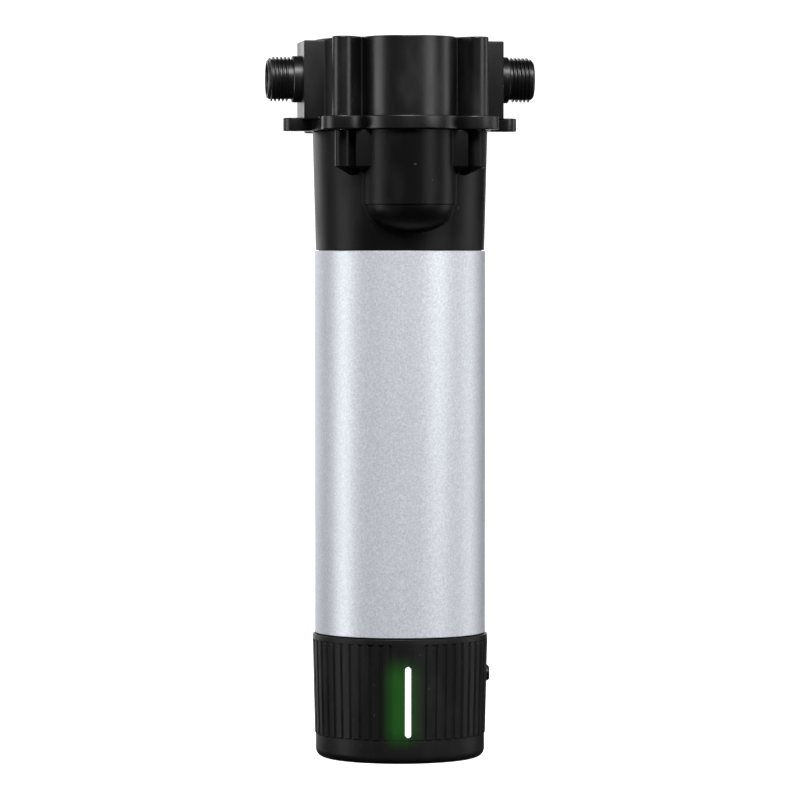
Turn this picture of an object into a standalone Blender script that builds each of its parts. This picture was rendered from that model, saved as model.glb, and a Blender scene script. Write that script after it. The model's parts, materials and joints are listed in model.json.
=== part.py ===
"""Inline UV clarifier with a flow switch, as the separate pieces it is assembled from.

Metres, +Z up.  The origin is the middle of the flat base, on the axis of the tube.
The front of the object, with the flow chamber and the light strip, faces -Y.  Water
comes in on the -X port, turns the flow turbine in the front chamber, runs down the
outside of the reflector tube, and rises inside it over the UV LEDs to the +X port.
"""
import math

import bmesh
import bpy
from mathutils import Matrix, Vector

MM = 0.001

# ---------------------------------------------------------------- driving sizes
SLEEVE_DIAMETER = 80.0 * MM
SLEEVE_WALL = 1.5 * MM
SLEEVE_LENGTH = 178.8 * MM
CAP_HEIGHT = 58.0 * MM
CAP_SEAM = 0.5 * MM            # gap between the end cap and the sleeve
NECK_LENGTH = 55.5 * MM        # black body that shows above the sleeve
NECK_STEP = 0.55 * MM          # the neck starts this much inside the sleeve's face
NECK_DRAFT = 1.5 * MM          # and widens this much up to the flange
BODY_WALL = 4.1 * MM
HEAD_HEIGHT = 42.7 * MM
FLANGE_THICKNESS = 6.2 * MM
GAP = 0.35 * MM                # running and assembly clearance
SEAT = 0.3 * MM                # gap left between faces that rest on each other

# ports, G 1/2 male
PORT_HEIGHT = 24.2 * MM        # axis above the underside of the head
PORT_LENGTH = 15.9 * MM
PORT_BORE = 14.4 * MM
PORT_THREAD_OD = 20.955 * MM
PORT_THREAD_DEPTH = 1.16 * MM
PORT_PITCH = 1.814 * MM
PORT_COLLAR_DIAMETER = 21.8 * MM
PORT_COLLAR_LENGTH = 4.2 * MM
PORT_ROOT = 2.0 * MM             # how far the port cylinder is sunk in its block
LINK_RADIUS = 5.5 * MM           # channel from the inlet to the turbine
CENTRE_WAY_RADIUS = 14.5 * MM    # way from the reflector to the outlet
WATER_WAY_RISE = 8.0 * MM        # top of the centre way above the port axis

# flow chamber and turbine
CHAMBER_RADIUS = 21.6 * MM
TURBINE_BORE = 16.0 * MM
TURBINE_BACK_WALL = 1.3 * MM
TURBINE_FRONT_WALL = 2.3 * MM
BULGE_DROP = 34.0 * MM         # straight part of the bulge below the head
BULGE_CONE = 14.5 * MM         # height of the 45 degree cone under the bulge
TURBINE_FLOOR_WALL = 3.0 * MM  # floor under the turbine
SENSOR_POCKET_DEPTH = 25.0 * MM
ROTOR_CLEARANCE = 0.6 * MM
AXLE_RADIUS = 0.75 * MM

# head details
SHOULDER_HALF_WIDTH = 23.9 * MM
PILLAR_RADIUS = 5.3 * MM
PILLAR_STANDOFF = 7.15 * MM    # pillar circle outside the top of the neck
PILLAR_ANGLE = math.radians(40.1)
PILLAR_LOBE = 10.8 * MM
CHAMBER_LOBE = 24.4 * MM
EAR_STANDOFF = 8.55 * MM
EAR_RADIUS = 5.5 * MM
EAR_HOLE = 4.4 * MM
BLOCK_STANDOFF = 5.85 * MM
BLOCK_HALF_DEPTH = 15.0 * MM
BLOCK_STEP = 0.9 * MM          # the port blocks stop this far below the top
WEB_THICKNESS = 2.4 * MM
WEB_DROP = 3.0 * MM            # the pillar webs stop this far below the top
BOSS_RADIUS = 4.0 * MM
BOSS_DROP = 16.7 * MM
CHEEK_WIDTH = 10.4 * MM
SCREW_RADIUS = 1.75 * MM
COUNTERBORE_RADIUS = 3.9 * MM
COUNTERBORE_DEPTH = 5.0 * MM
CHEEK_DEPTH = 11.0 * MM         # front face of the cheeks ahead of the chamber axis
CHEEK_OVERHANG = 4.4 * MM       # cheeks reach this far outside the chamber
UNDERSIDE_DROP = 3.7 * MM       # the undersides of the cheeks slope down to the tube
GASKET_THICKNESS = 0.9 * MM
GASKET_RECESS = 1.3 * MM
GASKET_BAND = 4.2 * MM

# reflector tube
REFLECTOR_RADIUS = 26.0 * MM
REFLECTOR_WALL = 1.5 * MM
REFLECTOR_SOCKET = 8.0 * MM    # how far it stands in the head
SEAL_ROOM = 1.6 * MM           # room for the reflector seal above it
LEDGE_LIP = 3.0 * MM           # lip round the foot of the reflector

# end cap
FOOT_BAND = 11.0 * MM
RIB_COUNT = 50
RIB_DEPTH = 0.9 * MM
CAP_TAPER = 1.1 * MM
COLLAR_HEIGHT = 2.5 * MM
FOOT_FILLET = 4.0 * MM
PANEL_HALF_ANGLE = math.radians(13.5)
STRIP_ANGLE = math.radians(-2.0)   # light strip, turned from the front towards -X
STRIP_WIDTH = 2.5 * MM
THREAD_PITCH = 3.0 * MM
THREAD_TURNS = 3.0
THREAD_DEPTH = 1.3 * MM
SKIRT_WALL = 2.2 * MM
BOARD_THICKNESS = 1.6 * MM
COMPONENT_HEIGHT = 6.0 * MM
SOCKET_RADIUS = 4.0 * MM
SOCKET_PROUD = 1.0 * MM
COVER_RADIUS = 30.0 * MM
COVER_THICKNESS = 2.5 * MM
COVER_SCREW_CIRCLE = 28.55 * MM
SMALL_SCREW = 1.0 * MM          # shank radius of the cover and LED board screws
SINK_SCREW = 0.9 * MM
FIN_COUNT = 7
FIN_PITCH = 7.6 * MM
SINK_CORE = 27.4 * MM
LED_PLATE_RADIUS = 18.0 * MM
LED_CIRCLE = 9.0 * MM

# window and lamp
WINDOW_RADIUS = 24.3 * MM
WINDOW_THICKNESS = 2.5 * MM
LED_COUNT = 6

# roundness of large, middle and small round pieces
ROUND, MID, FINE = 40, 18, 10
THREAD_STEPS = 24              # straight steps in one turn of the cap thread

# ---------------------------------------------------------------- worked-out sizes
SLEEVE_R = SLEEVE_DIAMETER / 2
SLEEVE_Z0 = CAP_HEIGHT + CAP_SEAM
SLEEVE_Z1 = SLEEVE_Z0 + SLEEVE_LENGTH
BODY_TOP = SLEEVE_Z1 + NECK_LENGTH
HEAD_Z0 = BODY_TOP + SEAT
FLANGE_Z1 = HEAD_Z0 + FLANGE_THICKNESS
HEAD_Z1 = HEAD_Z0 + HEAD_HEIGHT
PORT_Z = HEAD_Z0 + PORT_HEIGHT
BODY_R = SLEEVE_R - SLEEVE_WALL - GAP
NECK_R0 = SLEEVE_R - NECK_STEP
NECK_R1 = NECK_R0 + NECK_DRAFT
BORE_R = BODY_R - BODY_WALL
TURBINE_R = TURBINE_BORE / 2
TURBINE_Y = -(BORE_R + TURBINE_BACK_WALL + TURBINE_R)
CHAMBER_Y = TURBINE_Y + CHAMBER_RADIUS - TURBINE_R - TURBINE_FRONT_WALL
TURBINE_FLOOR = HEAD_Z0 - BULGE_DROP + TURBINE_FLOOR_WALL
PILLAR_CIRCLE = NECK_R1 + PILLAR_STANDOFF
BLOCK_X = NECK_R1 + BLOCK_STANDOFF
PORT_X = BLOCK_X + PORT_LENGTH
EAR_X = NECK_R1 + EAR_STANDOFF
CORNERS = [(sx * PILLAR_CIRCLE * math.sin(PILLAR_ANGLE), sy * PILLAR_CIRCLE * math.cos(PILLAR_ANGLE))
           for sy in (-1, 1) for sx in (-1, 1)]
THREAD_ROOT = SLEEVE_R - 4.5 * MM
THREAD_Z0 = CAP_HEIGHT - 11.0 * MM
THREAD_Z1 = THREAD_Z0 + THREAD_TURNS * THREAD_PITCH
CAP_BORE = THREAD_ROOT + GAP
SKIRT_Z0 = THREAD_Z0 - 1.5 * MM
SKIRT_BORE = THREAD_ROOT - SKIRT_WALL
LEDGE_Z0 = CAP_HEIGHT + 4.0 * MM
LEDGE_Z1 = LEDGE_Z0 + 4.0 * MM
CAP_FOOT_R = SLEEVE_R - 0.7 * MM
RIB_TOP = CAP_HEIGHT - COLLAR_HEIGHT
SOCKET_Z = CAP_HEIGHT - 19.4 * MM
SHELF_Z0 = CAP_HEIGHT - 29.5 * MM
SHELF_Z1 = SHELF_Z0 + 2.5 * MM
LEDGE_BOARD_Z = 5.7 * MM
BOARD_Z0 = LEDGE_BOARD_Z + SEAT
BOARD_Z1 = BOARD_Z0 + BOARD_THICKNESS
STRIP_Z0 = FOOT_BAND + 1.6 * MM
STRIP_Z1 = CAP_HEIGHT - 12.8 * MM
SINK_TOP = SKIRT_Z0 - 0.8 * MM
HOLDER_R = SKIRT_BORE - GAP


# ---------------------------------------------------------------- helpers
def clear_scene():
    for obj in list(bpy.data.objects):
        bpy.data.objects.remove(obj, do_unlink=True)


def finish_material(name, colour, roughness, metallic=0.0, transmission=0.0):
    material = bpy.data.materials.new(name)
    material.use_nodes = True
    shader = material.node_tree.nodes["Principled BSDF"]
    shader.inputs["Base Color"].default_value = (*colour, 1.0)
    shader.inputs["Roughness"].default_value = roughness
    shader.inputs["Metallic"].default_value = metallic
    shader.inputs["Transmission Weight"].default_value = transmission
    material.diffuse_color = (*colour, 1.0)
    return material


def snap(mesh):
    """Rounds coordinates to 0.1 micrometre, so that points meant to lie at zero are exactly there."""
    for vertex in mesh.vertices:
        vertex.co = [round(value, 7) + 0.0 for value in vertex.co]


def new_object(name, bm, material=None):
    bmesh.ops.recalc_face_normals(bm, faces=bm.faces)
    mesh = bpy.data.meshes.new(name)
    bm.to_mesh(mesh)
    bm.free()
    snap(mesh)
    mesh.shade_smooth()
    mesh.set_sharp_from_angle(angle=math.radians(30.0))
    if material:
        mesh.materials.append(material)
    obj = bpy.data.objects.new(name, mesh)
    bpy.context.scene.collection.objects.link(obj)
    return obj


def add_turned(bm, profile, segments, centre=(0.0, 0.0)):
    """A closed solid turned about a vertical axis from a closed outline of (radius, height)."""
    turns = [math.tau * i / segments for i in range(segments)]
    rings = []
    for radius, height in profile:
        if radius < 1e-7:
            rings.append([bm.verts.new((centre[0], centre[1], height))] * segments)
            continue
        rings.append([bm.verts.new((centre[0] + radius * math.cos(turn),
                                    centre[1] + radius * math.sin(turn), height)) for turn in turns])
    for lower, upper in zip(rings, rings[1:] + rings[:1]):
        for i in range(segments):
            j = (i + 1) % segments
            corners = list(dict.fromkeys((lower[i], lower[j], upper[j], upper[i])))
            if len(corners) > 2:
                bm.faces.new(corners)


def turned(name, profile, segments, material=None, centre=(0.0, 0.0)):
    bm = bmesh.new()
    add_turned(bm, profile, segments, centre)
    return new_object(name, bm, material)


def rod(radius, z0, z1):
    return [(0.0, z0), (radius, z0), (radius, z1), (0.0, z1)]


def tube(outer, inner, z0, z1):
    return [(inner, z0), (outer, z0), (outer, z1), (inner, z1)]


def add_prism(bm, outline, z0, z1, top_scale=1.0):
    """A closed solid pushed up from a flat outline of (x, y)."""
    low = [bm.verts.new((x, y, z0)) for x, y in outline]
    high = [bm.verts.new((x * top_scale, y * top_scale, z1)) for x, y in outline]
    bm.faces.new(list(reversed(low)))
    bm.faces.new(high)
    for i in range(len(outline)):
        j = (i + 1) % len(outline)
        bm.faces.new((low[i], low[j], high[j], high[i]))


def add_box(bm, low, high):
    outline = [(low[0], low[1]), (high[0], low[1]), (high[0], high[1]), (low[0], high[1])]
    add_prism(bm, outline, low[2], high[2])


def box(name, low, high, material=None):
    bm = bmesh.new()
    add_box(bm, low, high)
    return new_object(name, bm, material)


def aim(obj, start, direction):
    """Lays a mesh modelled along +Z so that it runs from start along direction."""
    turn = Vector(direction).to_track_quat("Z", "Y").to_matrix().to_4x4()
    obj.data.transform(Matrix.Translation(start) @ turn)
    snap(obj.data)
    return obj


def as_tool(obj):
    obj.hide_render = True
    obj.display_type = "WIRE"
    return obj


def combine(target, tools, operation):
    """One Boolean with every tool at once, which keeps shared edges exact."""
    group = bpy.data.collections.new(f"{target.name}_{operation.lower()}")
    for tool in tools:
        group.objects.link(as_tool(tool))
    modifier = target.modifiers.new(operation.lower(), "BOOLEAN")
    modifier.operation = operation
    modifier.solver = "EXACT"
    modifier.operand_type = "COLLECTION"
    modifier.collection = group
    return target


def cut(target, *tools):
    return combine(target, tools, "DIFFERENCE")


def join(target, *tools):
    return combine(target, tools, "UNION")


def thread_ridge(name, root, crest, pitch, z0, z1, half_root, half_crest, steps, lead=0.0):
    """A right-hand helical ridge with run-outs; half widths are along the axis.

    A ridge that starts lower than its mate by -lead starts at the matching angle.
    """
    bm = bmesh.new()
    turns = (z1 - z0) / pitch
    count = max(8, round(turns * steps))
    sections = []
    for i in range(count + 1):
        share = i / count
        angle = math.tau * (turns * share + lead / pitch)
        middle = z0 + (z1 - z0) * share
        run = min(1.0, min(share, 1.0 - share) * turns * 6.0)
        inner = root - 0.6 * MM
        outer = inner + (crest - inner) * max(run, 0.12)
        corners = ((inner, -half_root), (outer, -half_crest), (outer, half_crest), (inner, half_root))
        sections.append([bm.verts.new((radius * math.cos(angle), radius * math.sin(angle), middle + offset))
                         for radius, offset in corners])
    bm.faces.new(sections[0])
    bm.faces.new(list(reversed(sections[-1])))
    for before, after in zip(sections, sections[1:]):
        for i in range(4):
            j = (i + 1) % 4
            bm.faces.new((before[i], after[i], after[j], before[j]))
    return new_object(name, bm)


BLACK = finish_material("black_abs", (0.012, 0.012, 0.013), 0.35)
SILVER = finish_material("silver_sleeve", (0.72, 0.73, 0.74), 0.32, 0.9)
ALUMINIUM = finish_material("aluminium", (0.66, 0.67, 0.68), 0.35, 1.0)
STEEL = finish_material("stainless", (0.58, 0.58, 0.58), 0.28, 1.0)
RUBBER = finish_material("black_rubber", (0.02, 0.02, 0.02), 0.75)
SILICONE = finish_material("white_silicone", (0.82, 0.82, 0.80), 0.6)
WHITE = finish_material("white_ptfe", (0.88, 0.88, 0.86), 0.5)
ACETAL = finish_material("blue_acetal", (0.10, 0.22, 0.45), 0.4)
QUARTZ = finish_material("quartz", (0.92, 0.95, 0.97), 0.04, 0.0, 0.9)
BOARD = finish_material("green_board", (0.02, 0.18, 0.08), 0.45)
WHITE_BOARD = finish_material("white_board", (0.85, 0.85, 0.84), 0.45)
CHIP = finish_material("component", (0.03, 0.03, 0.035), 0.5)
LIGHT = finish_material("light_guide", (0.85, 1.0, 0.9), 0.3)
MAGNET = finish_material("magnet", (0.42, 0.42, 0.44), 0.35, 1.0)


# ---------------------------------------------------------------- head
def port_body(name, side):
    """Collar, plain root cylinder and thread of one port, along side * X."""
    root = PORT_THREAD_OD / 2 - PORT_THREAD_DEPTH
    start = Vector((side * (BLOCK_X - PORT_ROOT), 0.0, PORT_Z))
    length = PORT_LENGTH + PORT_ROOT
    collar_end = PORT_ROOT + PORT_COLLAR_LENGTH
    collar_r = PORT_COLLAR_DIAMETER / 2
    chamfer = 0.8 * MM
    profile = [(0.0, 0.0), (collar_r, 0.0), (collar_r, collar_end), (root, collar_end),
               (root, length - chamfer), (root - chamfer * 0.6, length), (0.0, length)]
    core = aim(turned(name + "_core", profile, MID), start, (side, 0.0, 0.0))
    ridge = thread_ridge(name + "_thread", root, PORT_THREAD_OD / 2, PORT_PITCH,
                         collar_end + 1.1 * MM, length - 1.2 * MM, 0.42 * PORT_PITCH, 0.09 * PORT_PITCH, 18)
    aim(ridge, start, (side, 0.0, 0.0))
    return core, ridge


def seal_outline(name, z0, z1, margin):
    """Figure-of-eight plate round the main bore and the turbine bore."""
    plate = turned(name, rod(BORE_R + GASKET_BAND + margin, z0, z1), ROUND, RUBBER)
    lobe = turned(name + "_lobe", rod(TURBINE_R + 3.0 * MM + margin, z0 - 1e-5, z1 + 1e-5), MID,
                  centre=(0.0, TURBINE_Y))
    return join(plate, lobe)


def make_head():
    head = turned("head", rod(NECK_R1 + 1.6 * MM, HEAD_Z0, FLANGE_Z1), ROUND, BLACK)
    drum = turned("head_drum", rod(NECK_R1 - 0.9 * MM, FLANGE_Z1 - MM, HEAD_Z1), ROUND)
    chamber = turned("head_chamber", rod(CHAMBER_RADIUS, FLANGE_Z1 - MM, HEAD_Z1 - 0.05 * MM), 32,
                     centre=(0.0, CHAMBER_Y))
    lobe = turned("head_chamber_lobe", rod(CHAMBER_LOBE, HEAD_Z0 + 0.02 * MM, FLANGE_Z1 - 0.02 * MM), 32,
                  centre=(0.0, CHAMBER_Y))
    shoulder = box("head_shoulder", (-SHOULDER_HALF_WIDTH, CHAMBER_Y - 1.5 * MM, FLANGE_Z1 - 0.9 * MM),
                   (SHOULDER_HALF_WIDTH, -0.5 * NECK_R1, HEAD_Z1 - 0.1 * MM))
    blocks = box("head_blocks", (-BLOCK_X, -BLOCK_HALF_DEPTH, FLANGE_Z1 - 0.8 * MM),
                 (BLOCK_X, BLOCK_HALF_DEPTH, HEAD_Z1 - BLOCK_STEP))
    solids = [drum, chamber, lobe, shoulder, blocks]
    for index, (x, y) in enumerate(CORNERS):
        pillar = turned(f"head_pillar_{index}", rod(PILLAR_RADIUS, FLANGE_Z1 - 0.7 * MM, HEAD_Z1 - 0.15 * MM),
                        16, centre=(x, y))
        pad = turned(f"head_pad_{index}", rod(PILLAR_LOBE, HEAD_Z0 + 0.04 * MM, FLANGE_Z1 - 0.04 * MM),
                     MID, centre=(x * 0.985, y * 0.985))
        web = box(f"head_web_{index}", (0.0, -WEB_THICKNESS / 2, FLANGE_Z1 - 0.5 * MM),
                  (PILLAR_CIRCLE, WEB_THICKNESS / 2, HEAD_Z1 - WEB_DROP))
        web.rotation_euler.z = math.atan2(y, x)
        solids += [pillar, pad, web]
    for side in (-1, 1):
        ear = turned(f"head_ear_{side}", rod(EAR_RADIUS, HEAD_Z0 + 0.06 * MM, FLANGE_Z1 - 0.06 * MM), 14,
                     centre=(side * EAR_X, 0.0))
        root = box(f"head_ear_root_{side}", (min(0, side) * EAR_X, -EAR_RADIUS, HEAD_Z0 + 0.08 * MM),
                   (max(0, side) * EAR_X, EAR_RADIUS, FLANGE_Z1 - 0.08 * MM))
        solids += [root, ear, *port_body(f"port_{side}", side)]
    join(head, *solids)
    # water ways and seats
    bore = PORT_BORE / 2
    inlet = aim(turned("inlet_way", rod(bore, -2 * MM, PORT_X - BORE_R + 1.5 * MM), MID),
                (-PORT_X, 0.0, PORT_Z), (1.0, 0.0, 0.0))
    outlet = aim(turned("outlet_way", rod(bore, -2 * MM, PORT_X - 10 * MM), MID),
                 (PORT_X, 0.0, PORT_Z), (-1.0, 0.0, 0.0))
    link_start = Vector((-BORE_R - 2.0 * MM, 0.0, PORT_Z))
    link_end = Vector((0.0, TURBINE_Y, PORT_Z))
    link = aim(turned("inlet_link", rod(LINK_RADIUS, 0.0, (link_end - link_start).length), 20),
               link_start, link_end - link_start)
    well = turned("turbine_well", rod(TURBINE_R, HEAD_Z0 - MM, PORT_Z + 6.0 * MM), MID,
                  centre=(0.0, TURBINE_Y))
    socket_r = REFLECTOR_RADIUS + GAP
    seat_z = HEAD_Z0 + REFLECTOR_SOCKET + SEAL_ROOM
    top_z = PORT_Z + WATER_WAY_RISE
    centre_way = turned("centre_way", [(0.0, HEAD_Z0 - MM), (socket_r, HEAD_Z0 - MM), (socket_r, seat_z),
                                       (CENTRE_WAY_RADIUS, seat_z), (CENTRE_WAY_RADIUS, top_z),
                                       (0.0, top_z)], 24)
    recess = seal_outline("gasket_recess", HEAD_Z0 - MM, HEAD_Z0 + GASKET_RECESS, GAP)
    cutters = [inlet, outlet, link, well, centre_way, recess]
    seat = HEAD_Z1 - COUNTERBORE_DEPTH
    for index, (x, y) in enumerate(CORNERS):
        hole = turned(f"screw_hole_{index}",
                      [(0.0, HEAD_Z0 - MM), (SCREW_RADIUS + GAP, HEAD_Z0 - MM), (SCREW_RADIUS + GAP, seat),
                       (COUNTERBORE_RADIUS, seat), (COUNTERBORE_RADIUS, HEAD_Z1 + MM), (0.0, HEAD_Z1 + MM)],
                      FINE, centre=(x, y))
        cutters.append(hole)
    for side in (-1, 1):
        cutters.append(turned(f"ear_hole_{side}", rod(EAR_HOLE / 2, HEAD_Z0 - MM, FLANGE_Z1 + MM), FINE,
                              centre=(side * EAR_X, 0.0)))
    return cut(head, *cutters)


def make_head_gasket():
    z0 = HEAD_Z0 + 0.1 * MM
    gasket = seal_outline("head_gasket", z0, z0 + GASKET_THICKNESS, 0.0)
    main_hole = turned("gasket_bore", rod(BORE_R - 0.2 * MM, z0 - MM, z0 + 2 * MM), ROUND)
    turbine_hole = turned("gasket_turbine_bore", rod(TURBINE_R + 0.3 * MM, z0 - MM, z0 + 2 * MM), MID,
                          centre=(0.0, TURBINE_Y))
    return cut(gasket, main_hole, turbine_hole)


def screw_profile(radius, head_radius, head_height, tip, under_head, recess):
    """Socket-head screw standing on its tip; the drive recess opens upwards."""
    top = under_head + head_height
    return [(0.0, tip), (radius * 0.5, tip), (radius, tip + radius), (radius, under_head),
            (head_radius, under_head), (head_radius, top), (recess, top), (recess, top - 0.55 * head_height),
            (0.0, top - 0.55 * head_height)]


def make_head_screws():
    under_head = HEAD_Z1 - COUNTERBORE_DEPTH + SEAT
    tip = BODY_TOP - BOSS_DROP + 3.0 * MM
    head = COUNTERBORE_RADIUS - 0.5 * MM
    profile = screw_profile(SCREW_RADIUS, head, head, tip, under_head, 1.5 * MM)
    for index, corner in enumerate(CORNERS):
        turned(f"head_screw_{index + 1}", profile, FINE, STEEL, corner)


# ---------------------------------------------------------------- body
def sloped_box(name, low, high, front, drop):
    """A box whose underside is lower by drop on the side away from y = front."""
    bm = bmesh.new()
    add_box(bm, low, high)
    for vertex in bm.verts:
        if abs(vertex.co.z - low[2]) < 1e-6 and abs(vertex.co.y - front) > 1e-6:
            vertex.co.z -= drop
    return new_object(name, bm)


def make_bulge():
    """Half-round column for the turbine; a 45 degree cone runs its foot into the tube."""
    straight = BODY_TOP - BULGE_DROP
    foot = straight - BULGE_CONE
    foot_r = CHAMBER_RADIUS - BULGE_CONE
    profile = [(0.0, foot), (foot_r, foot), (CHAMBER_RADIUS, straight),
               (CHAMBER_RADIUS, BODY_TOP - 0.02 * MM), (0.0, BODY_TOP - 0.02 * MM)]
    bulge = turned("bulge", profile, 32, centre=(0.0, CHAMBER_Y))
    return cut(bulge, turned("bulge_inside", rod(BORE_R + 0.05 * MM, foot - MM, BODY_TOP + MM), ROUND))


def make_cheek(side):
    """Square cheek beside the bulge, under the head's shoulder."""
    outer = CHAMBER_RADIUS + CHEEK_OVERHANG
    low_x, high_x = sorted((side * outer, side * (outer - CHEEK_WIDTH)))
    front = CHAMBER_Y - CHEEK_DEPTH
    cheek = sloped_box(f"cheek_{side}", (low_x, front, BODY_TOP - BOSS_DROP),
                       (high_x, -0.5 * (BORE_R + NECK_R1), BODY_TOP - 0.04 * MM), front, UNDERSIDE_DROP)
    inside = rod(BORE_R + 2.0 * MM, BODY_TOP - BOSS_DROP - 2 * UNDERSIDE_DROP, BODY_TOP + MM)
    return cut(cheek, turned(f"cheek_inside_{side}", inside, ROUND))


def make_body():
    step = LEDGE_Z1 + LEDGE_LIP
    hole = REFLECTOR_RADIUS - REFLECTOR_WALL - 1.5 * MM
    profile = [(SKIRT_BORE, SKIRT_Z0), (THREAD_ROOT, SKIRT_Z0), (THREAD_ROOT, SLEEVE_Z0 - SEAT),
               (BODY_R, SLEEVE_Z0 - SEAT), (BODY_R, SLEEVE_Z1 + SEAT), (NECK_R0, SLEEVE_Z1 + SEAT),
               (NECK_R1, BODY_TOP), (BORE_R, BODY_TOP), (BORE_R, step), (REFLECTOR_RADIUS + GAP, step),
               (REFLECTOR_RADIUS + GAP, LEDGE_Z1), (hole, LEDGE_Z1), (hole, LEDGE_Z0), (SKIRT_BORE, LEDGE_Z0)]
    body = turned("body_tube", profile, ROUND, BLACK)
    solids, cutters = [make_bulge(), make_cheek(-1), make_cheek(1)], []
    boss_z = BODY_TOP - BOSS_DROP
    for index, (x, y) in enumerate(CORNERS):
        boss = turned(f"boss_{index}", rod(BOSS_RADIUS, boss_z + 0.03 * MM, BODY_TOP - 0.06 * MM),
                      FINE, centre=(x, y))
        inner_y = y * 0.86
        half = 2.6 * MM
        reach = sorted((x, x * 0.86))
        web = box(f"boss_web_{index}", (reach[0] - half, min(y, inner_y), boss_z + 0.07 * MM),
                  (reach[1] + half, max(y, inner_y), BODY_TOP - 0.09 * MM))
        hole = turned(f"boss_hole_{index}", rod(SCREW_RADIUS + GAP, boss_z + 2.0 * MM, BODY_TOP + MM),
                      FINE, centre=(x, y))
        solids += [boss, web]
        cutters.append(hole)
    solids.append(thread_ridge("body_thread", THREAD_ROOT, THREAD_ROOT + THREAD_DEPTH, THREAD_PITCH,
                               THREAD_Z0 + 0.5 * MM, THREAD_Z1 - 0.5 * MM, 0.28 * THREAD_PITCH,
                               0.14 * THREAD_PITCH, THREAD_STEPS))
    turbine_bore = turned("turbine_bore", rod(TURBINE_R, TURBINE_FLOOR, BODY_TOP + MM), MID,
                          centre=(0.0, TURBINE_Y))
    window = box("turbine_outlet", (-4.5 * MM, TURBINE_Y, TURBINE_FLOOR + 3.6 * MM),
                 (4.5 * MM, -BORE_R + 4.0 * MM, TURBINE_FLOOR + 9.0 * MM))
    pocket_z = BODY_TOP - SENSOR_POCKET_DEPTH
    cutters += [turbine_bore, window]
    key = 1.85 * MM
    for side in (-1, 1):
        low_x, high_x = sorted((side * (TURBINE_R + 2.3 * MM), side * (TURBINE_R + 7.3 * MM)))
        cutters.append(box(f"sensor_pocket_{side}", (low_x, TURBINE_Y - 1.7 * MM, pocket_z),
                           (high_x, TURBINE_Y + 7.0 * MM, BODY_TOP + MM)))
        low_x, high_x = sorted((side * (SKIRT_BORE - MM), side * (SKIRT_BORE + 1.3 * MM)))
        cutters.append(box(f"key_slot_{side}", (low_x, -key, SKIRT_Z0 - MM),
                           (high_x, key, LEDGE_Z0 - 0.5 * MM)))
    join(body, *solids)
    return cut(body, *cutters)


def make_sleeve():
    return turned("outer_sleeve", tube(SLEEVE_R, SLEEVE_R - SLEEVE_WALL, SLEEVE_Z0, SLEEVE_Z1), 56, SILVER)


def make_reflector():
    z0, z1 = LEDGE_Z1 + SEAT, HEAD_Z0 + REFLECTOR_SOCKET
    inner = REFLECTOR_RADIUS - REFLECTOR_WALL
    reflector = turned("reflector_tube", tube(REFLECTOR_RADIUS, inner, z0, z1), 36, WHITE)
    slots = []
    for index, angle in enumerate((45, 135, 225, 315)):
        slot = box(f"reflector_slot_{index}", (0.0, -6.0 * MM, z0 + 4.0 * MM),
                   (REFLECTOR_RADIUS + 4 * MM, 6.0 * MM, z0 + 13.0 * MM))
        slot.rotation_euler.z = math.radians(angle)
        slots.append(slot)
    cut(reflector, *slots)
    seal_section = tube(REFLECTOR_RADIUS - 0.2 * MM, inner, z1 + SEAT, z1 + SEAL_ROOM - SEAT)
    seal = turned("reflector_seal", seal_section, 28, SILICONE)
    return reflector, seal


# ---------------------------------------------------------------- flow turbine
def make_spider(name, z0):
    height = 3.0 * MM
    outer = TURBINE_R - GAP
    centre = (0.0, TURBINE_Y)
    spider = turned(name, tube(outer, outer - 1.2 * MM, z0, z0 + height), MID, WHITE, centre)
    solids = [turned(name + "_hub", rod(2.2 * MM, z0 + 0.05 * MM, z0 + height - 0.05 * MM), FINE,
                     centre=centre)]
    for index in range(3):
        arm = box(f"{name}_arm_{index}", (1.0 * MM, -0.6 * MM, z0 + 0.4 * MM),
                  (outer - 0.5 * MM, 0.6 * MM, z0 + height - 0.4 * MM))
        arm.location.y = TURBINE_Y
        arm.rotation_euler.z = math.tau * index / 3 + 0.5
        solids.append(arm)
    return join(spider, *solids)


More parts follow.
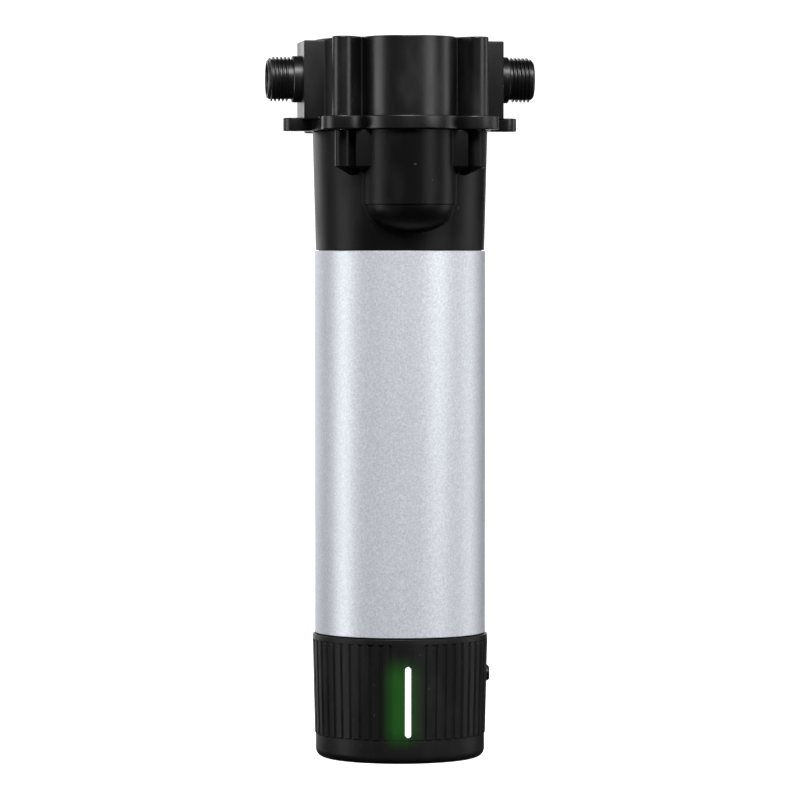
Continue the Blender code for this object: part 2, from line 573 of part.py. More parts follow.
def make_turbine():
    centre = (0.0, TURBINE_Y)
    low_z = TURBINE_FLOOR + SEAT
    high_z = BODY_TOP - 3.5 * MM
    lower = make_spider("turbine_lower_spider", low_z)
    axle_hole = AXLE_RADIUS + SEAT
    cut(lower, turned("lower_axle_seat", rod(axle_hole, low_z + MM, low_z + 4 * MM), FINE, centre=centre))
    upper = make_spider("turbine_upper_spider", high_z)
    cut(upper, turned("upper_axle_seat", rod(axle_hole, high_z - MM, high_z + 2 * MM), FINE, centre=centre))
    turned("turbine_axle", rod(AXLE_RADIUS, low_z + MM + SEAT, high_z + 2 * MM - SEAT), FINE, STEEL, centre)
    # rotor: hub on the axle, four twisted blades, and a ring that holds the magnets
    z0, z1 = low_z + 3.6 * MM, high_z - 0.6 * MM
    rotor_r = TURBINE_R - ROTOR_CLEARANCE
    hub = tube(2.6 * MM, AXLE_RADIUS + SEAT, -(z1 - z0) / 2, (z1 - z0) / 2)
    rotor = turned("turbine_rotor", hub, FINE, ACETAL)
    rotor.location = (0.0, TURBINE_Y, (z0 + z1) / 2)
    middle = Vector((0.0, TURBINE_Y, (z0 + z1) / 2))
    half = (z1 - z0) / 2
    ring_z0 = half - 4.0 * MM
    ring = turned("rotor_ring", tube(rotor_r - 1.0 * MM, 2.2 * MM, ring_z0, half - 0.2 * MM), 24)
    ring.location = middle
    solids, pockets = [ring], []
    for blade in range(4):
        bm = bmesh.new()
        levels = 5
        sections = []
        for level in range(levels + 1):
            height = -half + 0.4 * MM + (ring_z0 + half) * level / levels
            angle = math.tau * blade / 4 + math.radians(70) * level / levels
            along = Vector((math.cos(angle), math.sin(angle), 0.0))
            across = Vector((-along.y, along.x, 0.0)) * 0.5 * MM
            inner, outer = along * 2.0 * MM, along * rotor_r
            sections.append([bm.verts.new(point + Vector((0, 0, height)))
                             for point in (inner - across, outer - across, outer + across, inner + across)])
        bm.faces.new(sections[0])
        bm.faces.new(list(reversed(sections[-1])))
        for below, above in zip(sections, sections[1:]):
            for i in range(4):
                j = (i + 1) % 4
                bm.faces.new((below[i], below[j], above[j], above[i]))
        vane = new_object(f"rotor_blade_{blade}", bm)
        vane.location = middle
        solids.append(vane)
    for side in (-1, 1):
        spot = (side * (rotor_r + 1.4 * MM) / 2, TURBINE_Y)
        pockets.append(turned(f"magnet_pocket_{side}",
                              rod(1.7 * MM, middle.z + ring_z0 + 1.0 * MM, middle.z + half + MM), 12,
                              centre=spot))
        turned(f"rotor_magnet_{1 if side < 0 else 2}",
               rod(1.4 * MM, middle.z + ring_z0 + 1.3 * MM, middle.z + half - 0.5 * MM), 12, MAGNET, spot)
    join(rotor, *solids)
    cut(rotor, *pockets)


def make_flow_sensor():
    x0 = TURBINE_R + 4.6 * MM
    z0 = BODY_TOP - SENSOR_POCKET_DEPTH + SEAT
    box("flow_sensor_board", (x0, TURBINE_Y - 1.3 * MM, z0),
        (x0 + 1.2 * MM, TURBINE_Y + 6.6 * MM, z0 + 23.0 * MM), BOARD)
    box("hall_sensor", (x0 - 1.6 * MM, TURBINE_Y - 0.8 * MM, z0 + 16.0 * MM),
        (x0 - SEAT, TURBINE_Y + 3.2 * MM, z0 + 19.0 * MM), CHIP)


# ---------------------------------------------------------------- window cartridge
def make_window_group():
    z0, z1 = SKIRT_Z0 + 0.5 * MM, LEDGE_Z0 - 0.4 * MM
    seat_z = z1 - 4.6 * MM
    groove_z0 = z1 - 5.0 * MM
    groove_r = HOLDER_R - 1.7 * MM
    profile = [(28.0 * MM, z0), (HOLDER_R, z0), (HOLDER_R, groove_z0), (groove_r, groove_z0),
               (groove_r, groove_z0 + 2.4 * MM), (HOLDER_R, groove_z0 + 2.4 * MM), (HOLDER_R, z1),
               (21.0 * MM, z1), (21.0 * MM, seat_z), (WINDOW_RADIUS + GAP, seat_z),
               (WINDOW_RADIUS + GAP, z0 + 4.0 * MM), (28.0 * MM, z0 + 4.0 * MM)]
    holder = turned("window_holder", profile, 32, BLACK)
    keys = []
    for side in (-1, 1):
        low_x, high_x = sorted((side * (HOLDER_R - 1.5 * MM), side * (SKIRT_BORE + 0.9 * MM)))
        keys.append(box(f"holder_key_{side}", (low_x, -1.5 * MM, z0 + 1.0 * MM),
                        (high_x, 1.5 * MM, groove_z0 - MM)))
    join(holder, *keys)
    ring_section = 0.85 * MM
    ring_r = SKIRT_BORE - SEAT - ring_section
    seal_z = groove_z0 + 1.2 * MM
    oring = []
    for i in range(6):
        turn = math.tau * i / 6
        oring.append((ring_r + ring_section * math.cos(turn), seal_z + ring_section * math.sin(turn)))
    turned("window_holder_oring", oring, 32, RUBBER)
    seal_low = seat_z - SEAT - 1.0 * MM
    turned("window_seal", tube(WINDOW_RADIUS - 0.3 * MM, 21.6 * MM, seal_low, seat_z - SEAT), 28, SILICONE)
    glass_top = seal_low - SEAT
    glass_low = glass_top - WINDOW_THICKNESS
    turned("quartz_window", rod(WINDOW_RADIUS, glass_low, glass_top), 32, QUARTZ)
    ring = turned("window_retaining_ring", tube(WINDOW_RADIUS, 20.5 * MM, glass_low - SEAT - 2.3 * MM,
                                                glass_low - SEAT), 28, WHITE)
    notches = []
    for side in (-1, 1):
        notch = box(f"retaining_notch_{side}", (side * 21.8 * MM - 1.2 * MM, -1.2 * MM, glass_low - 4 * MM),
                    (side * 21.8 * MM + 1.2 * MM, 1.2 * MM, glass_low - SEAT - 1.2 * MM))
        notches.append(notch)
    cut(ring, *notches)
    turned("slip_washer", tube(HOLDER_R - 0.3 * MM, 28.5 * MM, SINK_TOP + SEAT, z0 - SEAT), 28, WHITE)


# ---------------------------------------------------------------- end cap
def rib_outline(radius):
    """One turn of the ribbed wall; the panel round the light strip stays plain."""
    front = -math.pi / 2 + STRIP_ANGLE
    points = []
    pitch = math.tau / RIB_COUNT
    for rib in range(RIB_COUNT):
        middle = front + rib * pitch
        away = abs((rib * pitch + math.pi) % math.tau - math.pi)
        depth = 0.0 if away < PANEL_HALF_ANGLE else RIB_DEPTH
        for share, drop in ((-0.30, 0.0), (0.30, 0.0), (0.40, depth), (0.60, depth)):
            following = abs(((rib + 1) * pitch + math.pi) % math.tau - math.pi)
            if following < PANEL_HALF_ANGLE:
                drop = 0.0
            angle = middle + share * pitch
            points.append(((radius - drop) * math.cos(angle), (radius - drop) * math.sin(angle)))
    return points


def strip_frame():
    angle = -math.pi / 2 + STRIP_ANGLE
    return Vector((math.cos(angle), math.sin(angle), 0.0)), angle


def capsule_bar(name, radial0, radial1, half_width, z0, z1, material=None):
    """A bar with round ends, seen from outside, that runs through the wall at the light strip."""
    bm = bmesh.new()
    outline = []
    for centre, start in ((z1 - half_width, 0.0), (z0 + half_width, math.pi)):
        for i in range(9):
            turn = start + math.pi * i / 8
            outline.append((half_width * math.cos(turn), centre + half_width * math.sin(turn)))
    inner = [bm.verts.new((radial0, y, z)) for y, z in outline]
    outer = [bm.verts.new((radial1, y, z)) for y, z in outline]
    bm.faces.new(inner)
    bm.faces.new(list(reversed(outer)))
    for i in range(len(outline)):
        j = (i + 1) % len(outline)
        bm.faces.new((inner[i], inner[j], outer[j], outer[i]))
    obj = new_object(name, bm, material)
    obj.rotation_euler.z = strip_frame()[1]
    return obj


def make_end_cap():
    fillet = [(CAP_FOOT_R - FOOT_FILLET * (1 - math.sin(math.radians(a))),
               FOOT_FILLET * (1 - math.cos(math.radians(a)))) for a in (0, 22.5, 45, 67.5, 90)]
    foot = [(0.0, 0.0)] + fillet + [(CAP_FOOT_R, FOOT_BAND + 0.3 * MM), (0.0, FOOT_BAND + 0.3 * MM)]
    cap = turned("end_cap", foot, ROUND, BLACK)
    bm = bmesh.new()
    add_prism(bm, rib_outline(SLEEVE_R), FOOT_BAND, RIB_TOP, (SLEEVE_R + CAP_TAPER) / SLEEVE_R)
    collar_r = SLEEVE_R + CAP_TAPER - 0.1 * MM
    collar = turned("cap_collar", rod(collar_r, RIB_TOP - 0.2 * MM, CAP_HEIGHT), ROUND)
    join(cap, new_object("cap_ribs", bm), collar)
    # inside: cover opening, board ledge, shelf for the heat sink, threaded bore, lead-in
    flat_to_round = 1.0 / math.cos(math.pi / THREAD_STEPS)
    lead_in = (THREAD_ROOT + THREAD_DEPTH + GAP) * flat_to_round + 0.2 * MM
    cover_r, cover_z = COVER_RADIUS + SEAT, COVER_THICKNESS + SEAT
    inside = [(0.0, -MM), (cover_r, -MM), (cover_r, cover_z), (27.0 * MM, cover_z),
              (27.0 * MM, LEDGE_BOARD_Z - 1.0 * MM), (32.0 * MM, LEDGE_BOARD_Z - 1.0 * MM),
              (32.0 * MM, LEDGE_BOARD_Z), (CAP_BORE, LEDGE_BOARD_Z), (CAP_BORE, SHELF_Z0),
              (SKIRT_BORE - 0.8 * MM, SHELF_Z0), (SKIRT_BORE - 0.8 * MM, SHELF_Z1), (CAP_BORE, SHELF_Z1),
              (CAP_BORE, CAP_HEIGHT - 1.6 * MM), (lead_in, CAP_HEIGHT - 1.6 * MM), (lead_in, CAP_HEIGHT + MM),
              (0.0, CAP_HEIGHT + MM)]
    groove_start = THREAD_Z0 - 0.4 * MM
    groove_turns = math.ceil((CAP_HEIGHT - 0.6 * MM - groove_start) / THREAD_PITCH)
    groove_end = groove_start + THREAD_PITCH * groove_turns
    cutters = [turned("cap_inside", inside, ROUND)]
    cutters.append(thread_ridge("cap_thread", (THREAD_ROOT + GAP) * flat_to_round,
                                (THREAD_ROOT + THREAD_DEPTH + GAP) * flat_to_round, THREAD_PITCH,
                                groove_start, groove_end, 0.28 * THREAD_PITCH + GAP,
                                0.14 * THREAD_PITCH + GAP, THREAD_STEPS, groove_start - THREAD_Z0 - 0.5 * MM))
    cutters.append(capsule_bar("strip_slot", CAP_BORE - 2 * MM, SLEEVE_R + 4 * MM, STRIP_WIDTH / 2 + SEAT,
                               STRIP_Z0 - SEAT, STRIP_Z1 + SEAT))
    cutters.append(aim(turned("socket_hole", rod(SOCKET_RADIUS - 0.6 * MM + SEAT, -MM, 10 * MM), 20),
                       (CAP_BORE - 2 * MM, 0.0, SOCKET_Z), (1.0, 0.0, 0.0)))
    for index in range(3):
        cutters.append(turned(f"cover_screw_hole_{index}",
                              rod(SMALL_SCREW + SEAT, 2.0 * MM, LEDGE_BOARD_Z - 0.9 * MM), 12,
                              centre=cover_screw_spot(index)))
        cutters.append(turned(f"sink_screw_hole_{index}",
                              rod(SINK_SCREW + SEAT, SHELF_Z0 - MM, SHELF_Z1 + MM), 12,
                              centre=sink_screw_spot(index)))
    return cut(cap, *cutters)


def cover_screw_spot(index):
    angle = math.tau * index / 3 + math.pi / 6
    return COVER_SCREW_CIRCLE * math.cos(angle), COVER_SCREW_CIRCLE * math.sin(angle)


def sink_screw_spot(index):
    angle = math.tau * index / 3 + math.pi / 2
    radius = (SKIRT_BORE - 0.8 * MM + CAP_BORE) / 2
    return radius * math.cos(angle), radius * math.sin(angle)


def make_bottom_cover():
    cover = turned("bottom_cover", rod(COVER_RADIUS, 0.0, COVER_THICKNESS), 32, BLACK)
    recesses = []
    for index in range(3):
        spot = cover_screw_spot(index)
        recesses.append(turned(f"cover_recess_{index}", [(0.0, -MM), (2.0 * MM, -MM), (2.0 * MM, 1.4 * MM),
                                                         (1.3 * MM, 1.4 * MM), (1.3 * MM, 4 * MM),
                                                         (0.0, 4 * MM)], 12, centre=spot))
        turned(f"cover_screw_{index + 1}",
               [(0.0, 0.2 * MM), (1.65 * MM, 0.2 * MM), (1.65 * MM, 1.1 * MM), (SMALL_SCREW, 1.1 * MM),
                (SMALL_SCREW, LEDGE_BOARD_Z - 1.3 * MM), (0.0, LEDGE_BOARD_Z - 1.3 * MM)], 12, STEEL, spot)
    cut(cover, *recesses)


def make_lamp():
    flange_z0 = SHELF_Z1 + SEAT
    flange_z1 = flange_z0 + 1.9 * MM
    fin_z0 = BOARD_Z1 + COMPONENT_HEIGHT + 4.0 * MM
    top_r = HOLDER_R - 0.3 * MM
    rim = CAP_BORE - GAP
    neck_z = SINK_TOP - 1.5 * MM
    profile = [(0.0, flange_z0), (rim, flange_z0), (rim, flange_z1), (SINK_CORE, flange_z1),
               (SINK_CORE, neck_z), (top_r, neck_z), (top_r, SINK_TOP), (0.0, SINK_TOP)]
    sink = turned("heat_sink", profile, 32, ALUMINIUM)
    fins, sink_cuts = [], []
    for index in range(FIN_COUNT):
        x = (index - (FIN_COUNT - 1) / 2) * FIN_PITCH
        reach = math.sqrt((SINK_CORE - 0.4 * MM) ** 2 - x ** 2)
        fins.append(box(f"fin_{index}", (x - 0.9 * MM, -reach, fin_z0),
                        (x + 0.9 * MM, reach, flange_z0 + 0.8 * MM)))
    for index in range(3):
        spot = sink_screw_spot(index)
        sink_cuts.append(turned(f"sink_hole_{index}",
                                rod(SINK_SCREW + SEAT, flange_z0 - MM, flange_z1 + MM), 12, centre=spot))
        turned(f"heat_sink_screw_{index + 1}",
               [(0.0, SHELF_Z0 + 0.4 * MM), (SINK_SCREW, SHELF_Z0 + 0.4 * MM), (SINK_SCREW, flange_z1 + SEAT),
                (1.45 * MM, flange_z1 + SEAT), (1.45 * MM, flange_z1 + 1.5 * MM),
                (0.0, flange_z1 + 1.5 * MM)], 12, STEEL, spot)
    plate_z0 = SINK_TOP + SEAT
    plate_z1 = plate_z0 + BOARD_THICKNESS
    plate = turned("uv_led_board", rod(LED_PLATE_RADIUS, plate_z0, plate_z1), 24, WHITE_BOARD)
    plate_cuts = []
    for side in (-1, 1):
        spot = (side * (LED_PLATE_RADIUS - 3.0 * MM), 0.0)
        hole = SMALL_SCREW + SEAT
        plate_cuts.append(turned(f"plate_hole_{side}", rod(hole, plate_z0 - MM, plate_z1 + MM), 12,
                                 centre=spot))
        sink_cuts.append(turned(f"sink_top_hole_{side}", rod(hole, SINK_TOP - 4.0 * MM, SINK_TOP + MM), 12,
                                centre=spot))
        turned(f"led_board_screw_{1 if side < 0 else 2}",
               [(0.0, SINK_TOP - 3.6 * MM), (SMALL_SCREW, SINK_TOP - 3.6 * MM),
                (SMALL_SCREW, plate_z1 + SEAT),
                (1.7 * MM, plate_z1 + SEAT), (1.7 * MM, plate_z1 + 1.5 * MM),
                (0.0, plate_z1 + 1.5 * MM)], 12, STEEL, spot)
    cut(plate, *plate_cuts)
    join(sink, *fins)
    cut(sink, *sink_cuts)
    for index in range(LED_COUNT):
        angle = math.tau * (index + 0.5) / LED_COUNT
        x, y = LED_CIRCLE * math.cos(angle), LED_CIRCLE * math.sin(angle)
        half = 1.75 * MM
        box(f"uv_led_{index + 1}", (x - half, y - half, plate_z1 + SEAT),
            (x + half, y + half, plate_z1 + 1.5 * MM), QUARTZ)


def make_electronics():
    turned("driver_board", rod(CAP_BORE - GAP, BOARD_Z0, BOARD_Z1), 32, BOARD)
    low = BOARD_Z1 + SEAT
    high = low + COMPONENT_HEIGHT - SEAT
    turned("driver_capacitor_1", rod(4.0 * MM, low, high), FINE, CHIP, (12.0 * MM, 10.0 * MM))
    turned("driver_capacitor_2", rod(3.2 * MM, low, high), FINE, CHIP, (20.0 * MM, -4.0 * MM))
    box("driver_inductor", (-15.0 * MM, 4.0 * MM, low), (-5.0 * MM, 14.0 * MM, low + 4.5 * MM), CHIP)
    box("driver_chip", (-4.0 * MM, -14.0 * MM, low), (5.0 * MM, -8.0 * MM, low + 1.6 * MM), CHIP)
    # daughter board behind the light strip, and its LEDs
    angle = strip_frame()[1]
    z0, z1 = low, SHELF_Z0 - 0.5 * MM
    face = CAP_BORE - 2.2 * MM
    daughter = box("indicator_board", (face - 1.2 * MM, -4.0 * MM, z0), (face, 4.0 * MM, z1), BOARD)
    daughter.rotation_euler.z = angle
    count = 2
    for index in range(count):
        middle = STRIP_Z0 + 3.0 * MM + (z1 - STRIP_Z0 - 5.0 * MM) * index / (count - 1)
        lamp = box(f"indicator_led_{index + 1}", (face + SEAT, -0.9 * MM, middle - 1.1 * MM),
                   (face + 1.5 * MM, 0.9 * MM, middle + 1.1 * MM), LIGHT)
        lamp.rotation_euler.z = angle
    capsule_bar("light_guide", CAP_BORE + 0.25 * MM, SLEEVE_R - 0.1 * MM, STRIP_WIDTH / 2,
                STRIP_Z0, STRIP_Z1, LIGHT)


def make_power_socket():
    wall_r = SLEEVE_R + CAP_TAPER
    start = Vector((CAP_BORE - 7.0 * MM, 0.0, SOCKET_Z))
    nut_z = 6.1 * MM
    end = wall_r + SOCKET_PROUD - start.x
    face = wall_r - start.x + 0.15 * MM
    shank = SOCKET_RADIUS - 0.6 * MM
    profile = [(0.0, 0.0), (shank, 0.0), (shank, face), (SOCKET_RADIUS, face),
               (SOCKET_RADIUS - 0.7 * MM, end), (2.75 * MM, end), (2.75 * MM, end - 7.5 * MM),
               (0.0, end - 7.5 * MM)]
    socket = turned("dc_inlet_socket", profile, 20, BLACK)
    pin = turned("socket_pin", rod(0.65 * MM, end - 8.0 * MM, end - 2.5 * MM), 10)
    join(socket, pin)
    aim(pin, start, (1.0, 0.0, 0.0))
    aim(socket, start, (1.0, 0.0, 0.0))
    nut = turned("dc_inlet_nut", rod(4.9 * MM, nut_z - 1.9 * MM, nut_z), 6, STEEL)
    aim(nut, start, (1.0, 0.0, 0.0))
    cut(nut, aim(turned("nut_hole", rod(shank + SEAT, 0.0, 8.0 * MM), 20), start, (1.0, 0.0, 0.0)))


def main():
    clear_scene()
    make_head()
    make_head_gasket()
    make_head_screws()
    make_body()
    make_sleeve()
    make_reflector()
    make_turbine()
    make_flow_sensor()
    make_window_group()
    make_end_cap()
    make_bottom_cover()
    make_lamp()
    make_electronics()
    make_power_socket()


main()
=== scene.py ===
# %% [markdown]
# # Inline UV water clarifier
# The clarifier is a black moulded head on a silver sleeve, with a ribbed lamp cap under it.
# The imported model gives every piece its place. This lesson gives the visible mouldings their
# rounded edges and fine threads, and gives every piece a finish. The camera comes first,
# because every later choice is judged through it.

# %% Load the frame
import json
import math

import bmesh
import bpy
import numpy as np
from mathutils import Matrix, Vector


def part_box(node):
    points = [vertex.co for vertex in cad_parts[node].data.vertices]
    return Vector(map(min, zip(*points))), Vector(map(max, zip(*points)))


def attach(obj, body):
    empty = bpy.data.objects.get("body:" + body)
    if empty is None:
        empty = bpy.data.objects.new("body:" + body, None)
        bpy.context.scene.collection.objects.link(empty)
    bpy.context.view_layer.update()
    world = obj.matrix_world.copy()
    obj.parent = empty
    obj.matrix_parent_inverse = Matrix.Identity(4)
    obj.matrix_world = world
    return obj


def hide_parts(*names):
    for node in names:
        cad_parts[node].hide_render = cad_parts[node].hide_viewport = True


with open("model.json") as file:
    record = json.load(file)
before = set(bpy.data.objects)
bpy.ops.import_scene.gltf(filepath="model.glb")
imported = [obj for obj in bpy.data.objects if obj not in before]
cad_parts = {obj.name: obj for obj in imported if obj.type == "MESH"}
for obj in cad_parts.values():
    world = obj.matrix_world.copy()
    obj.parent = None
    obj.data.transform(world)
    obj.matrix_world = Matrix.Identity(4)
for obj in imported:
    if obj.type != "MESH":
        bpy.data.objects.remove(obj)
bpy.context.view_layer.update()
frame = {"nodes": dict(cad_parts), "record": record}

MM = 0.001
nodes = frame["nodes"]
print("pieces in the frame:", len(nodes))

# %% [markdown]
# ## Camera
# A long lens from about two metres keeps the port threads and the cap almost in profile. The
# camera stands a few degrees round from the front, towards the inlet port.

# %% Camera
VIEW_TURN = math.radians(7.5)
VIEW_DISTANCE = 2.10
EYE_HEIGHT = 0.2373
AIM_HEIGHT = 0.1673
camera_data = bpy.data.cameras.new("camera")
camera_data.lens = 201.5
camera_data.sensor_width = 36.0
camera = bpy.data.objects.new("camera", camera_data)
bpy.context.scene.collection.objects.link(camera)
eye = Vector((-VIEW_DISTANCE * math.sin(VIEW_TURN), -VIEW_DISTANCE * math.cos(VIEW_TURN), EYE_HEIGHT))
camera.location = eye
camera.rotation_euler = (Vector((0.0, 0.0, AIM_HEIGHT)) - eye).to_track_quat("-Z", "Y").to_euler()
bpy.context.scene.camera = camera
print("camera stands", round(eye.length, 2), "m away")

# %% [markdown]
# ## Floor and light
# Black plastic shows only what it mirrors, so the lights are long upright panels: each one draws
# a soft vertical streak down a pillar or a rib. A large soft panel above the camera gives the
# sleeve its even grey. The white sheet glows by itself and throws nothing back on the object,
# because a bright floor would turn every black piece grey. A dim panel behind the object stands
# in for the backdrop, whose mirror image pales the faces that are seen edge on.

# %% Floor sheet
def add_mesh(name, bm, smooth_angle=30.0):
    """Turns a bmesh into an object with its normals outwards and smooth shading."""
    bmesh.ops.recalc_face_normals(bm, faces=bm.faces)
    mesh = bpy.data.meshes.new(name)
    bm.to_mesh(mesh)
    bm.free()
    mesh.shade_smooth()
    mesh.set_sharp_from_angle(angle=math.radians(smooth_angle))
    obj = bpy.data.objects.new(name, mesh)
    bpy.context.scene.collection.objects.link(obj)
    return obj


def add_floor():
    """A round floor whose edge curves up into a wall, so that every view ends in white."""
    bm = bmesh.new()
    reach, bend, wall, columns = 4.2, 1.2, 5.0, 96
    curve = [math.radians(angle) for angle in range(0, 91, 10)]
    path = [(reach + bend * math.sin(a), bend * (1 - math.cos(a))) for a in curve]
    path.append((reach + bend, wall))
    turns = [math.tau * i / columns for i in range(columns)]
    rings = [[bm.verts.new((r * math.cos(t), r * math.sin(t), z)) for t in turns] for r, z in path]
    bm.faces.new(rings[0])
    for inner, outer in zip(rings, rings[1:]):
        for i in range(columns):
            j = (i + 1) % columns
            bm.faces.new((inner[i], inner[j], outer[j], outer[i]))
    floor = add_mesh("studio_sheet", bm, 80.0)
    paper = bpy.data.materials.new("studio_paper")
    paper.use_nodes = True
    shader = paper.node_tree.nodes["Principled BSDF"]
    shader.inputs["Base Color"].default_value = (0.93, 0.93, 0.93, 1.0)
    shader.inputs["Roughness"].default_value = 0.85
    shader.inputs["Emission Color"].default_value = (1.0, 1.0, 1.0, 1.0)
    shader.inputs["Emission Strength"].default_value = 1.0
    floor.data.materials.append(paper)
    floor.visible_glossy = False
    floor.visible_diffuse = False
    floor.visible_transmission = False


add_floor()
print("floor sheet is laid")


# %% Studio lights
def add_panel(name, place, aim, size, power, colour=(1.0, 1.0, 1.0)):
    light = bpy.data.lights.new(name, "AREA")
    light.shape = "RECTANGLE"
    light.size, light.size_y = size
    light.energy = power
    light.color = colour
    lamp = bpy.data.objects.new(name, light)
    lamp.location = place
    lamp.rotation_euler = (Vector(aim) - Vector(place)).to_track_quat("-Z", "Y").to_euler()
    bpy.context.scene.collection.objects.link(lamp)


AIM = (0.0, 0.0, 0.17)
add_panel("key_right", (1.02, -1.02, 0.65), AIM, (0.60, 1.2), 9.0)
add_panel("side_right", (1.42, 0.20, 0.35), AIM, (0.60, 1.3), 5.0)
add_panel("edge_left", (-1.40, -0.05, 0.25), AIM, (0.60, 1.3), 9.0)
add_panel("backdrop_glow", (-0.25, 1.60, 0.50), AIM, (2.4, 1.4), 17.0)
add_panel("front_soft", (-0.45, -2.90, 3.20), AIM, (2.4, 1.4), 238.0)
world = bpy.data.worlds.new("studio_air")
world.use_nodes = True
world.node_tree.nodes["Background"].inputs["Color"].default_value = (1.0, 1.0, 1.0, 1.0)
world.node_tree.nodes["Background"].inputs["Strength"].default_value = 0.05
bpy.context.scene.world = world
bpy.context.scene.view_settings.view_transform = "Standard"
print("studio lights:", len(bpy.data.lights))

# %% [markdown]
# ## Shader arithmetic
# A finish is easier to read as a sum than as a web of nodes. A small class wraps one socket, and
# its operators add Math nodes. Every other node comes from one method.

# %% Socket wrapper
class Flow:
    """One number that varies over a surface."""

    def __init__(self, finish, socket):
        self.finish = finish
        self.socket = socket

    def _math(self, operation, first, second):
        return self.finish.node("ShaderNodeMath", {"operation": operation}, {0: first, 1: second})

    def __add__(self, other):
        return self._math("ADD", self, other)

    def __sub__(self, other):
        return self._math("SUBTRACT", self, other)

    def __rsub__(self, other):
        return self._math("SUBTRACT", other, self)

    def __mul__(self, other):
        return self._math("MULTIPLY", self, other)

    def __gt__(self, other):
        return self._math("GREATER_THAN", self, other)

    def smooth(self, low, high):
        """0 below low, 1 above high, and a soft step between."""
        return self.finish.node("ShaderNodeMapRange", {"interpolation_type": "SMOOTHSTEP"},
                                {"Value": self, "From Min": low, "From Max": high})

    __radd__ = __add__
    __rmul__ = __mul__


print("arithmetic on sockets is ready")


# %% Finish class
class Finish:
    """A material that is written as expressions."""

    def __init__(self, name, roughness, metallic=0.0, **constants):
        self.material = bpy.data.materials.new(name)
        self.material.use_nodes = True
        self.tree = self.material.node_tree
        self.shader = self.tree.nodes["Principled BSDF"]
        self.shader.inputs["Roughness"].default_value = roughness
        self.shader.inputs["Metallic"].default_value = metallic
        for socket, value in constants.items():
            self.shader.inputs[socket.replace("_", " ")].default_value = value

    def node(self, kind, settings, values, output=0):
        made = self.tree.nodes.new(kind)
        for key, value in settings.items():
            setattr(made, key, value)
        for key, value in values.items():
            self.feed(made.inputs[key], value)
        return Flow(self, made.outputs[output])

    def feed(self, socket, value):
        if isinstance(value, Flow):
            self.tree.links.new(value.socket, socket)
        else:
            socket.default_value = value

    def set(self, socket, value):
        self.feed(self.shader.inputs[socket], value)

    def place(self):
        return self.node("ShaderNodeTexCoord", {}, {}, "Object")

    def axis(self, letter):
        return self.node("ShaderNodeSeparateXYZ", {}, {0: self.place()}, letter)

    def noise(self, scale, detail=3.0, stretch=(1.0, 1.0, 1.0), roughness=0.5):
        spot = self.node("ShaderNodeVectorMath", {"operation": "MULTIPLY"},
                         {0: self.place(), 1: stretch})
        return self.node("ShaderNodeTexNoise", {}, {"Vector": spot, "Scale": scale, "Detail": detail,
                                                    "Roughness": roughness})

    def blend(self, factor, first, second):
        """Colour mixed by a factor; first and second are colours or flows."""
        return self.node("ShaderNodeMix", {"data_type": "RGBA"}, {0: factor, 6: first, 7: second}, 2)

    def bump(self, height, strength, distance):
        self.set("Normal", self.node("ShaderNodeBump", {}, {"Strength": strength, "Distance": distance,
                                                            "Height": height}))


print("shader helpers ready")

# %% [markdown]
# ## Black moulded plastic
# The mouldings are satin black ABS. A tool leaves a very fine spark texture, the gloss drifts a
# little where the plastic flowed, handling leaves faint smears, and a few pale specks of dust
# settle on any black part. All of that goes into roughness and a shallow bump; the colour stays
# nearly black.

# %% Black plastic finishes
def black_plastic(name, tone, roughness, gloss=0.3, grain=0.35):
    finish = Finish(name, roughness, Specular_IOR_Level=gloss)
    drift = finish.noise(24.0, 2.0)
    smear = finish.noise(60.0, 4.0, (1.0, 1.0, 0.45)).smooth(0.45, 0.75)
    spark = finish.noise(2600.0, 2.0)
    speck = finish.noise(420.0, 1.0) > 0.79
    dusty = finish.blend(speck * 0.28, (*[tone] * 3, 1.0), (0.16, 0.16, 0.16, 1.0))
    finish.set("Base Color", finish.blend(drift * 0.2 + smear * 0.4, dusty, (*[tone + 0.014] * 3, 1.0)))
    finish.set("Roughness", roughness - 0.05 + drift * 0.06 + smear * 0.10 + speck * 0.2)
    finish.bump(spark * 0.7 + drift * 0.5, grain, 0.00004)
    return finish


SATIN_BLACK = black_plastic("satin_black_moulding", 0.002, 0.36, 0.46)
NECK_BLACK = black_plastic("neck_black_moulding", 0.001, 0.40, 0.15)
RUBBER = black_plastic("soft_black_rubber", 0.018, 0.78, 0.3, 0.6)
CHIP = black_plastic("epoxy_component", 0.02, 0.5)
print("black finishes:", [kind.material.name for kind in (SATIN_BLACK, NECK_BLACK, RUBBER, CHIP)])

# %% [markdown]
# ## Silver sleeve
# The sleeve is an aluminium tube with a fine metallic coat. Up close the coat is a mass of tiny
# flakes that each catch the light a little differently, so the colour and the roughness both
# carry a very fine speckle, over a faint drawn grain that runs along the tube.

# %% Silver coat
def silver_coat():
    finish = Finish("silver_metallic_coat", 0.44, 0.4, Specular_IOR_Level=0.5)
    flake = finish.noise(1500.0, 2.0, roughness=0.7)
    coarse = finish.noise(820.0, 3.0, roughness=0.6)
    grain = finish.noise(700.0, 2.0, (1.0, 1.0, 0.03))
    cloud = finish.noise(18.0, 2.0)
    sparkle = flake.smooth(0.38, 0.66) * 0.6 + coarse.smooth(0.36, 0.66) * 0.4
    body = finish.blend(sparkle, (0.53, 0.555, 0.605, 1.0), (0.75, 0.775, 0.83, 1.0))
    finish.set("Base Color", finish.blend(cloud * 0.15, body, (0.68, 0.70, 0.74, 1.0)))
    finish.set("Roughness", 0.40 + coarse * 0.10 + cloud * 0.04 - flake * 0.06)
    finish.bump(flake * 0.6 + grain * 0.4, 0.16, 0.00003)
    return finish


SILVER = silver_coat()
print("sleeve finish:", SILVER.material.name)

